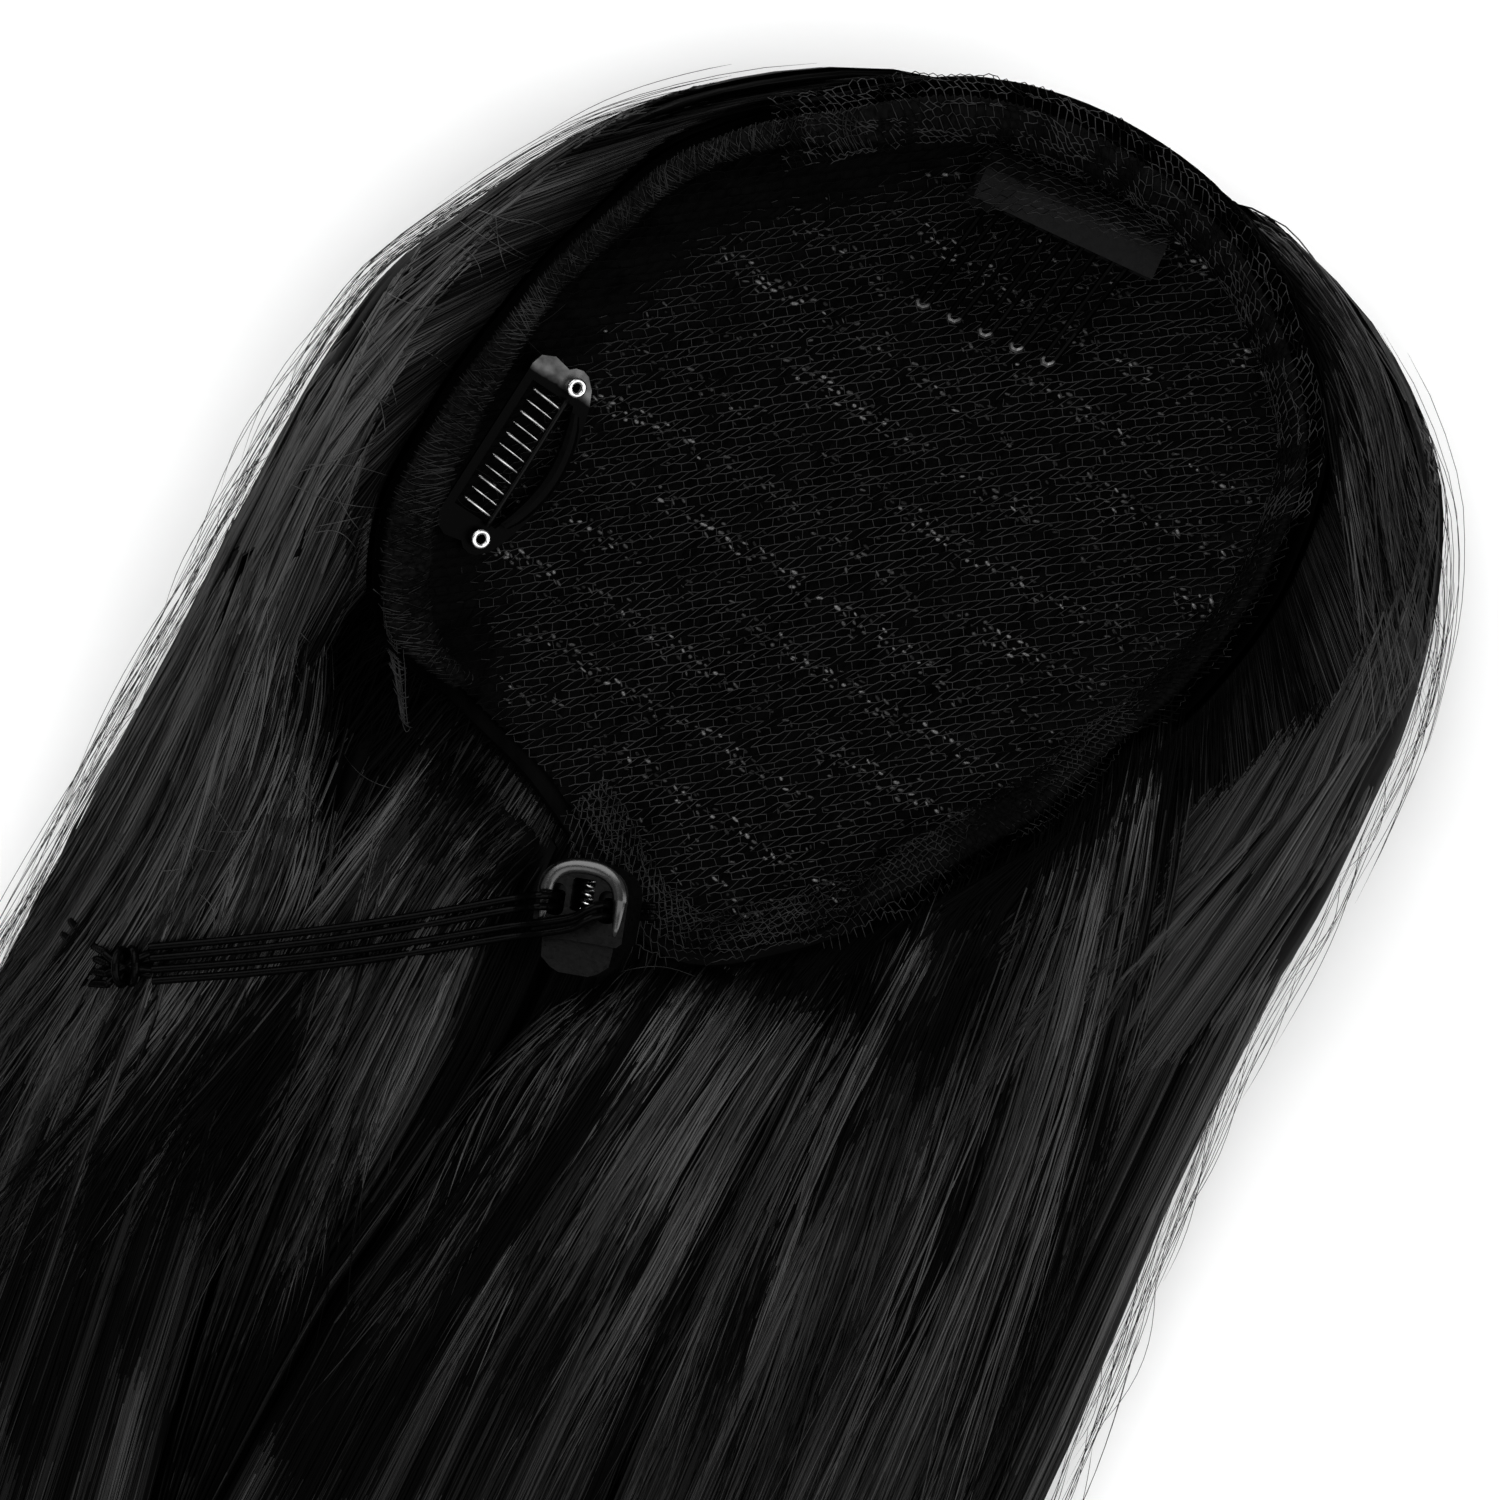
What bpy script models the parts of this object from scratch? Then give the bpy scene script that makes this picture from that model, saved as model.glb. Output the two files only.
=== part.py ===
"""Drawstring ponytail hairpiece, lying on its hair with the net cap open upwards.

Metres, +Z up.  The origin is on the flat underside of the hair, under the
middle of the cap.  -Y runs towards the hair tips, +X to the cap's right side.
Tables are in millimetres.
"""
import math

import bmesh
import bpy
import numpy as np
from mathutils import Matrix, Vector
from mathutils.geometry import tessellate_polygon

MM = 0.001

# ---------------------------------------------------------------- dimensions
CAP_CENTRE = (0.0, -2.0)      # middle of the cap's rim, mm
CAP_FLOOR_Z = 14.0            # inside of the bowl at its middle
CAP_WALL = 1.2                # net and weft rows together
CAP_PROFILE = 3.2             # how square the bowl's section is
GAP = 0.45                    # clearance between neighbouring pieces

HEM_WIDTH = 6.6               # the gathered drawstring casing
HEM_THICK = 2.4

EDGE_H = 2.5                  # height of the hair's outermost edge

CORD_D = 1.3                  # round elastic drawstring
KNOT_D = 6.4

CLIP_SPAN = 28.0              # eyelet to eyelet
CLIP_PLATE = 0.6
CLIP_AXIS_W = 1.5             # toothed bar's axis above the frame's underside
CLIP_TEETH = 11
CLIP_PITCH = 2.0

COMB_TEETH = 5                # wire loops
COMB_PITCH = 5.4
COMB_LOOP = 2.4               # between the two legs of one loop
COMB_WIRE_D = 0.85
COMB_LEG = 21.5

LOCK_W, LOCK_H, LOCK_T = 15.0, 12.6, 7.6
LOCK_WALL = 1.1
LOCK_HOLE_X = 4.3
LOCK_HOLE_Y = 0.7             # where the cords pass
LOCK_PRESS = 1.8              # button travel
LOCK_FIT = 0.3

# Rim of the net cap.  angle: degrees about CAP_CENTRE from +X;
# radius: of the wall's inner face; height: of the wall's top edge;
# lean: how far the casing's band is turned from level to upright, degrees.
RIM = [
    # angle, radius, height, lean
    (0,   57.5, 28.0, 58),
    (20,  65.0, 30.0, 62),
    (40,  72.0, 32.0, 60),
    (62,  73.0, 33.0, 52),
    (82,  71.5, 33.0, 38),
    (100, 69.0, 33.5, 22),
    (122, 64.0, 35.0, 12),
    (140, 64.0, 36.0, 10),
    (156, 62.5, 36.5, 10),
    (172, 63.5, 36.0, 10),
    (190, 68.0, 35.0, 10),
    (204, 74.0, 33.0, 12),
    (216, 76.0, 29.0, 13),
    (228, 68.0, 22.0, 14),
    (242, 64.0, 17.5, 14),
    (256, 66.5, 15.3, 14),
    (270, 72.5, 15.2, 14),
    (286, 65.0, 16.5, 16),
    (300, 58.5, 19.0, 20),
    (318, 54.0, 23.0, 32),
    (340, 53.0, 26.0, 48),
]

HEM_FROM, HEM_TO = 226.0, -66.0   # the casing's two ends, by rim angle

# Outer edge of the hair on the left and right, by distance along Y.
HAIR_EDGE = [
    # y, left, right
    (70,   -10,  40),
    (67,   -24,  48),
    (62,   -37,  59),
    (51,   -53,  73),
    (39,   -65,  82),
    (19,   -78,  89),
    (0,    -87,  91.5),
    (-21,  -90,  91.5),
    (-57,  -92,  88.5),
    (-102, -94,  90.5),
    (-150, -95,  91.5),
    (-198, -93,  90),
    (-250, -86,  84),
    (-300, -74,  74),
    (-335, -60,  60),
    (-356, -46,  44),
]

# Lines between the locks below the cap, by distance along Y.
PARTINGS = [
    # y, left_inner, deep_parting, right_centre
    (-44,  -73.5, -18, 34),
    (-58,  -68, -18, 33),
    (-75,  -61, -18, 30),
    (-95,  -54, -17, 27),
    (-120, -48, -20, 26),
    (-150, -43, -26, 27),
    (-180, -39, -28, 28),
    (-215, -33, -30, 29),
    (-260, -28, -28, 27),
    (-310, -18, -18, 22),
    (-356, -8,  -8,  16),
]

# Height of each lock's crown and of its two flanks, by distance along Y.
SIDE_CROWN = [
    # y, left, right
    (70, 18, 20), (62, 25, 27), (51, 31, 32), (39, 34, 35), (19, 37, 37),
    (0, 39, 38), (-21, 39, 38), (-57, 35, 36), (-80, 30, 33), (-110, 26.5, 30),
    (-150, 25, 28), (-198, 23, 25), (-250, 20, 21), (-300, 16, 16),
    (-335, 11, 11), (-356, 7, 7),
]
CENTRE_CROWN = [
    # y, crown
    (-44, 12), (-70, 12.5), (-78, 13.2), (-90, 17.5), (-110, 22), (-150, 25),
    (-198, 23), (-250, 20), (-300, 15.5), (-335, 11), (-356, 7),
]
INNER_CROWN = [
    # y, crown
    (-44, 11), (-62, 15), (-78, 21), (-95, 24), (-120, 24.5), (-150, 23.5),
    (-180, 21.5), (-212, 15),
]


# ------------------------------------------------------------------- helpers
def spline_table(table, key, column, period=None):
    """Smooth interpolation of one column of a table by its first column."""
    rows = sorted(table, key=lambda r: r[0])
    xs = [float(r[0]) for r in rows]
    ys = [float(r[column]) for r in rows]
    if period:
        key = (key - xs[0]) % period + xs[0]
        xs = [xs[-1] - period] + xs + [xs[0] + period, xs[1] + period]
        ys = [ys[-1]] + ys + [ys[0], ys[1]]
    key = min(max(key, xs[0]), xs[-1])
    i = max(0, min(len(xs) - 2, int(np.searchsorted(xs, key, side="right")) - 1))

    def slope(k):
        if k <= 0:
            return (ys[1] - ys[0]) / (xs[1] - xs[0])
        if k >= len(xs) - 1:
            return (ys[-1] - ys[-2]) / (xs[-1] - xs[-2])
        a = (ys[k] - ys[k - 1]) / (xs[k] - xs[k - 1])
        b = (ys[k + 1] - ys[k]) / (xs[k + 1] - xs[k])
        if a * b <= 0:
            return 0.0
        return 2 * a * b / (a + b)

    h = xs[i + 1] - xs[i]
    t = (key - xs[i]) / h
    m0, m1 = slope(i) * h, slope(i + 1) * h
    return ((2 * t**3 - 3 * t**2 + 1) * ys[i] + (t**3 - 2 * t**2 + t) * m0
            + (-2 * t**3 + 3 * t**2) * ys[i + 1] + (t**3 - t**2) * m1)


def rim(angle, column):
    return spline_table(RIM, angle, column, period=360.0)


def bowl_z(x, y):
    """Height of the cap's inner face over a point of its plan, mm."""
    dx, dy = x - CAP_CENTRE[0], y - CAP_CENTRE[1]
    angle = math.degrees(math.atan2(dy, dx)) % 360.0
    rho = min(1.0, math.hypot(dx, dy) / rim(angle, 1))
    return bowl_height(angle, rho)


def bowl_height(angle, rho):
    rise = rim(angle, 2) - CAP_FLOOR_Z
    flat = 1.0 - (1.0 - min(rho, 1.0) ** CAP_PROFILE) ** (1.0 / CAP_PROFILE)
    return CAP_FLOOR_Z + rise * flat


def bowl_point(angle, rho):
    a = math.radians(angle)
    r = rim(angle, 1) * rho
    return Vector((CAP_CENTRE[0] + r * math.cos(a), CAP_CENTRE[1] + r * math.sin(a),
                   bowl_height(angle, rho)))


def bowl_outward(angle, rho):
    """Unit normal of the bowl, pointing out of it (down and outwards)."""
    rho = min(rho, 0.9985)
    e = 0.001
    da = bowl_point(angle + 0.5, rho) - bowl_point(angle - 0.5, rho)
    dr = bowl_point(angle, rho) - bowl_point(angle, max(rho - e, 0.0))
    n = dr.cross(da)
    n.normalize()
    return n if n.z < 0 else -n


def material(name, colour, roughness, metallic=0.0):
    m = bpy.data.materials.new(name)
    m.use_nodes = True
    bsdf = m.node_tree.nodes["Principled BSDF"]
    bsdf.inputs["Base Color"].default_value = (*colour, 1.0)
    bsdf.inputs["Roughness"].default_value = roughness
    bsdf.inputs["Metallic"].default_value = metallic
    return m


def add_object(name, points_mm, faces, mat, smooth_deg=40.0, frame=None):
    mesh = bpy.data.meshes.new(name)
    pts = [Vector(p) for p in points_mm]
    if frame is not None:
        pts = [frame @ p for p in pts]
    mesh.from_pydata([tuple(p * MM) for p in pts], [], [tuple(f) for f in faces])
    bm = bmesh.new()
    bm.from_mesh(mesh)
    bmesh.ops.remove_doubles(bm, verts=bm.verts, dist=1e-7)
    bmesh.ops.recalc_face_normals(bm, faces=bm.faces)
    bm.to_mesh(mesh)
    bm.free()
    mesh.validate()
    mesh.shade_smooth()
    mesh.set_sharp_from_angle(angle=math.radians(smooth_deg))
    obj = bpy.data.objects.new(name, mesh)
    obj.data.materials.append(mat)
    bpy.context.scene.collection.objects.link(obj)
    return obj


def loft(name, rings, mat, frame=None, smooth_deg=40.0):
    """Closed solid through rings of equal length, with flat ends."""
    n = len(rings[0])
    pts = [p for ring in rings for p in ring]
    faces = []
    for k in range(len(rings) - 1):
        a, b = k * n, (k + 1) * n
        for i in range(n):
            j = (i + 1) % n
            faces.append((a + i, a + j, b + j, b + i))
    faces.append(tuple(range(n - 1, -1, -1)))
    last = (len(rings) - 1) * n
    faces.append(tuple(range(last, last + n)))
    return add_object(name, pts, faces, mat, smooth_deg, frame)


def plate_mesh(outline, holes, z0, z1):
    """Points and faces of a flat plate with holes, from plan polygons."""
    loops = [outline] + list(holes)
    flat = [[Vector((p[0], p[1], 0.0)) for p in loop] for loop in loops]
    tris = tessellate_polygon(flat)
    plan = [p for loop in loops for p in loop]
    n = len(plan)
    pts = [(p[0], p[1], z0) for p in plan] + [(p[0], p[1], z1) for p in plan]
    faces = [tuple(t) for t in tris] + [tuple(i + n for i in t) for t in tris]
    start = 0
    for loop in loops:
        m = len(loop)
        for i in range(m):
            a, b = start + i, start + (i + 1) % m
            faces.append((a, b, b + n, a + n))
        start += m
    return pts, faces


def circle(cx, cy, r, n, start=0.0):
    return [(cx + r * math.cos(start + 2 * math.pi * i / n),
             cy + r * math.sin(start + 2 * math.pi * i / n)) for i in range(n)]


def rounded_rect(x0, y0, x1, y1, r, n=4):
    pts = []
    for cx, cy, a0 in ((x1 - r, y1 - r, 0), (x0 + r, y1 - r, 90),
                       (x0 + r, y0 + r, 180), (x1 - r, y0 + r, 270)):
        for i in range(n + 1):
            a = math.radians(a0 + 90.0 * i / n)
            pts.append((cx + r * math.cos(a), cy + r * math.sin(a)))
    return pts


def smooth_route(points, count):
    """Evenly spaced points on one smooth curve through the given points."""
    pts = [Vector(p) for p in points]
    ext = [2 * pts[0] - pts[1]] + pts + [2 * pts[-1] - pts[-2]]
    dense = []
    for k in range(1, len(ext) - 2):
        p0, p1, p2, p3 = ext[k - 1:k + 3]
        t1 = max((p1 - p0).length, 1e-6) ** 0.5
        t2 = max((p2 - p1).length, 1e-6) ** 0.5
        t3 = max((p3 - p2).length, 1e-6) ** 0.5
        m1 = ((p1 - p0) / t1 - (p2 - p0) / (t1 + t2) + (p2 - p1) / t2) * t2
        m2 = ((p2 - p1) / t2 - (p3 - p1) / (t2 + t3) + (p3 - p2) / t3) * t2
        for i in range(24):
            t = i / 24
            dense.append((2 * t**3 - 3 * t**2 + 1) * p1 + (t**3 - 2 * t**2 + t) * m1
                         + (-2 * t**3 + 3 * t**2) * p2 + (t**3 - t**2) * m2)
    dense.append(pts[-1])
    run = [0.0]
    for a, b in zip(dense, dense[1:]):
        run.append(run[-1] + (b - a).length)
    out = []
    for i in range(count):
        s = run[-1] * i / (count - 1)
        k = max(0, min(len(run) - 2, int(np.searchsorted(run, s, side="right")) - 1))
        t = (s - run[k]) / max(run[k + 1] - run[k], 1e-9)
        out.append(dense[k].lerp(dense[k + 1], t))
    return out


def tube(name, points_mm, diameter, mat, resolution=2):
    """Round cord or wire: a curve with a bevel and filled caps."""
    curve = bpy.data.curves.new(name, "CURVE")
    curve.dimensions = "3D"
    curve.bevel_depth = diameter * 0.5 * MM
    curve.bevel_resolution = resolution
    curve.use_fill_caps = True
    sp = curve.splines.new("POLY")
    sp.points.add(len(points_mm) - 1)
    for p, q in zip(sp.points, points_mm):
        p.co = (q[0] * MM, q[1] * MM, q[2] * MM, 1.0)
    obj = bpy.data.objects.new(name, curve)
    curve.materials.append(mat)
    bpy.context.scene.collection.objects.link(obj)
    return obj


# ---------------------------------------------------------------- hair forms
def rim_edge_x(outset):
    """Left and right edge of the rim, set out by a distance, as x by y."""
    pts = []
    for i in range(360):
        a = bowl_point(i, 1.0)
        b = bowl_point(i + 1, 1.0)
        t = Vector((b.x - a.x, b.y - a.y))
        n = Vector((t.y, -t.x)).normalized()
        m = (a + b) / 2
        pts.append((m.x + n.x * outset, m.y + n.y * outset))
    top = max(range(360), key=lambda i: pts[i][1])
    low = min(range(360), key=lambda i: pts[i][1])
    left = sorted((pts[i % 360] for i in range(top, low + 1)), key=lambda p: p[1])
    right = sorted((pts[i % 360] for i in range(low, top + 361)), key=lambda p: p[1])
    return (np.array([p[1] for p in left]), np.array([p[0] for p in left]),
            np.array([p[1] for p in right]), np.array([p[0] for p in right]))


RIM_OUT = rim_edge_x(CAP_WALL + 0.9)


def rim_left(y):
    return float(np.interp(y, RIM_OUT[0], RIM_OUT[1]))


def rim_right(y):
    return float(np.interp(y, RIM_OUT[2], RIM_OUT[3]))


def smooth_step(a, b, v):
    t = min(1.0, max(0.0, (v - a) / (b - a)))
    return t * t * (3 - 2 * t)


def side_height(y, s, crown, inner):
    """Roll of hair: s is 0 at the outer edge and 1 at the inner side."""
    outer = (1.0 - (1.0 - min(s / 0.5, 1.0)) ** 2.2) ** (1 / 2.2)
    top = EDGE_H + (crown - EDGE_H) * outer
    return top + (inner - crown) * smooth_step(0.45, 1.0, s)


def crown_left(y):
    return spline_table(SIDE_CROWN, y, 1)


def crown_right(y):
    return spline_table(SIDE_CROWN, y, 2)


def lock_height(s, crown, flank_a, flank_b):
    """Lock of hair between two partings: s runs 0 to 1 across it."""
    bulge = math.sin(math.pi * min(max(s, 0.0), 1.0)) ** 0.6
    flank = flank_a + (flank_b - flank_a) * s
    return flank + (crown - flank) * bulge


def heights_left(y, s):
    c = crown_left(y)
    beside = min(c, 34.0)
    below = c * 0.72
    inner = below + (beside - below) * smooth_step(-66, -30, y)
    return side_height(y, s, c, inner)


def heights_right(y, s):
    c = crown_right(y)
    beside = min(c, 30.0)
    below = c * 0.8
    inner = below + (beside - below) * smooth_step(-80, -30, y)
    return side_height(y, s, c, inner)


def heights_centre(y, s):
    c = spline_table(CENTRE_CROWN, y, 1)
    return lock_height(s, c, min(c, 9.0), min(c, 0.86 * c))


def heights_inner(y, s):
    c = spline_table(INNER_CROWN, y, 1)
    return lock_height(s, c, 0.8 * c, 0.42 * c)


def span_left(y):
    edge = spline_table(HAIR_EDGE, y, 1)
    if y > -44:
        return edge, rim_left(y)
    return edge, min(spline_table(PARTINGS, y, 1), rim_left(y) if y > -58 else 99) - GAP


def span_right(y):
    edge = spline_table(HAIR_EDGE, y, 2)
    if y > -52:
        return edge, rim_right(y)
    return edge, max(spline_table(PARTINGS, y, 3), rim_right(y) if y > -76 else -99) + GAP


def span_centre(y):
    right = spline_table(PARTINGS, y, 3) - GAP
    if y > -75.6:
        return rim_right(y), right
    return spline_table(PARTINGS, y, 2) + GAP, right


def span_inner(y):
    left = spline_table(PARTINGS, y, 1) + GAP + 3.5 * smooth_step(-75, -58, y)
    right = spline_table(PARTINGS, y, 2) - GAP
    if y > -68.5:
        right = min(right, rim_left(y))
    return left, right


def hair_block(name, ys, span, heights, across, mat):
    """Solid of one lock: flat underneath, its crown worked out by heights."""
    rings = []
    for y in ys:
        a, b = span(y)
        ring = [(a, y, 0.0), (b, y, 0.0)]
        for i in range(across + 1):
            s = 1.0 - i / across
            # more sections near the outer edge, where the roll is roundest
            s = s ** 1.25 if abs(a) > abs(b) or span is span_right else s
            ring.append((a + (b - a) * s, y, heights(y, s)))
        rings.append(ring)
    return loft(name, rings, mat, smooth_deg=60)


def hair_top(x, y):
    """Height of the hair's upper side below the cap, mm."""
    for span, heights in ((span_left, heights_left), (span_inner, heights_inner),
                          (span_centre, heights_centre), (span_right, heights_right)):
        if span is span_inner and y < -211:
            continue
        if span in (span_centre,) and y > -54:
            continue
        a, b = span(y)
        if min(a, b) - 1.2 <= x <= max(a, b) + 1.2:
            s = min(1.0, max(0.0, (x - a) / (b - a)))
            return heights(y, s)
    return 0.0


# --------------------------------------------------------------------- build
def build_cap(mat):
    angles = 40
    radii = [0.0, 0.3, 0.55, 0.74, 0.88, 0.955, 0.99, 0.9999]
    pts, faces = [], []
    centre = Vector((CAP_CENTRE[0], CAP_CENTRE[1], CAP_FLOOR_Z))
    pts += [tuple(centre), tuple(centre - Vector((0, 0, CAP_WALL)))]
    for rho in radii[1:]:
        for i in range(angles):
            angle = 360.0 * i / angles
            p = bowl_point(angle, rho)
            pts.append(tuple(p))
            pts.append(tuple(p + bowl_outward(angle, rho) * CAP_WALL))

    def at(ring, i, side):
        return 2 + ((ring * angles) + i % angles) * 2 + side

    for i in range(angles):
        faces.append((0, at(0, i, 0), at(0, i + 1, 0)))
        faces.append((1, at(0, i + 1, 1), at(0, i, 1)))
        for k in range(len(radii) - 2):
            faces.append((at(k, i, 0), at(k + 1, i, 0), at(k + 1, i + 1, 0), at(k, i + 1, 0)))
            faces.append((at(k, i, 1), at(k, i + 1, 1), at(k + 1, i + 1, 1), at(k + 1, i, 1)))
        k = len(radii) - 2
        faces.append((at(k, i, 0), at(k, i, 1), at(k, i + 1, 1), at(k, i + 1, 0)))
    return add_object("net_cap", pts, faces, mat, 60)


def build_hem(mat):
    """Gathered casing that the drawstring runs in, along the cap's rim."""
    steps = 44
    rings = []
    for k in range(steps + 1):
        angle = HEM_FROM + (HEM_TO - HEM_FROM) * k / steps
        a = math.radians(angle)
        out = Vector((math.cos(a), math.sin(a), 0.0))
        lean = math.radians(rim(angle, 3))
        r, top = rim(angle, 1), rim(angle, 2)
        up = math.sin(lean)
        start = Vector((CAP_CENTRE[0], CAP_CENTRE[1], 0.0)) + out * (r + 0.4 - 2.9 * up)
        start.z = top + 2.1 - 1.6 * up
        along = -out * math.cos(lean) - Vector((0, 0, math.sin(lean)))
        across = out * math.sin(lean) * -1 + Vector((0, 0, math.cos(lean)))
        half = HEM_THICK / 2
        # flattened oval section with a fuller inner edge
        section = [(0.0, 0.0), (0.13, 0.8), (0.45, 1.0), (0.82, 0.85), (1.0, 0.0),
                   (0.82, -0.85), (0.45, -1.0), (0.13, -0.8)]
        taper = 1.0
        if k <= 3:
            taper = 0.62 + 0.38 * k / 3
        if k >= steps - 3:
            taper = 0.62 + 0.38 * (steps - k) / 3
        rings.append([tuple(start + along * (HEM_WIDTH * u * taper) + across * (half * v * taper))
                      for u, v in section])
    return loft("drawstring_casing", rings, mat, smooth_deg=70)


def build_hair_under(mat):
    """Hair between the cap and the surface it lies on."""
    angles = 40
    radii = [0.0, 0.55, 0.74, 0.88, 0.955]
    pts = [(CAP_CENTRE[0], CAP_CENTRE[1], CAP_FLOOR_Z - CAP_WALL - GAP), (CAP_CENTRE[0], CAP_CENTRE[1], 0.0)]
    faces = []
    for rho in radii[1:]:
        for i in range(angles):
            angle = 360.0 * i / angles
            p = bowl_point(angle, rho) + bowl_outward(angle, rho) * (CAP_WALL + GAP + 0.5)
            pts.append(tuple(p))
    rows = len(radii) - 1

    def at(k, i):
        return 2 + k * angles + i % angles

    base = 2 + rows * angles
    for i in range(angles):
        p = pts[at(rows - 1, i)]
        pts.append((p[0], p[1], 0.0))
    for i in range(angles):
        j = (i + 1) % angles
        faces.append((0, at(0, i), at(0, i + 1)))
        for k in range(rows - 1):
            faces.append((at(k, i), at(k + 1, i), at(k + 1, i + 1), at(k, i + 1)))
        faces.append((at(rows - 1, i), base + i, base + j, at(rows - 1, i + 1)))
        faces.append((1, base + j, base + i))
    return add_object("hair_under", pts, faces, mat, 60)


def ys_between(top, bottom, count, power=1.0):
    return [top + (bottom - top) * (i / (count - 1)) ** power for i in range(count)]


def build_hair(mats):
    upper = [69.4, 67, 63, 57, 50, 42, 33, 22, 10, -4, -20, -34, -44]
    lower = [-52, -62, -75, -90, -108, -130, -155, -185, -220, -255, -290, -320, -342, -356]
    hair_block("hair_left", upper + lower, span_left, heights_left, 9, mats["hair"])
    hair_block("hair_right", upper + lower, span_right, heights_right, 9, mats["hair"])
    centre = [-55, -60, -66, -71, -74.6, -75.2, -76.4, -80, -88, -98, -112, -130, -155,
              -185, -220, -255, -290, -320, -342, -356]
    hair_block("hair_center", centre, span_centre, heights_centre, 8, mats["hair"])
    inner = [-45.5, -50, -56, -62, -68, -69.5, -76, -86, -98, -112, -130, -150, -172, -194, -210]
    hair_block("hair_inner_left", inner, span_inner, heights_inner, 7, mats["hair"])


# --------------------------------------------------------------- snap clip
CLIP_LOWER = (-54.9, -28.5)
CLIP_UPPER = (-51.2, -0.8)


def clip_frame():
    """Clip's own axes: u lower to upper eyelet, v to the teeth tips, w up."""
    lo, up = Vector((*CLIP_LOWER, 0)), Vector((*CLIP_UPPER, 0))
    mid = (lo + up) / 2
    u = (up - lo).normalized()
    side = Vector((-u.y, u.x, 0.0))
    tilt = math.radians(27.0)
    v = side * math.cos(tilt) + Vector((0, 0, 1)) * math.sin(tilt)
    w = u.cross(v).normalized()
    if w.z < 0:
        w = -w
    # raise the frame until its whole underside clears the net
    lift = 0.0
    for uu in np.linspace(-17, 17, 15):
        for vv in np.linspace(-6.8, 8.2, 15):
            p = mid + u * float(uu) + v * float(vv)
            lift = max(lift, bowl_z(p.x, p.y) - p.z)
    origin = mid + Vector((0, 0, lift + 0.4))
    m = Matrix.Identity(4)
    for row in range(3):
        m[row][0], m[row][1], m[row][2], m[row][3] = u[row], v[row], w[row], origin[row]
    return m


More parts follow.
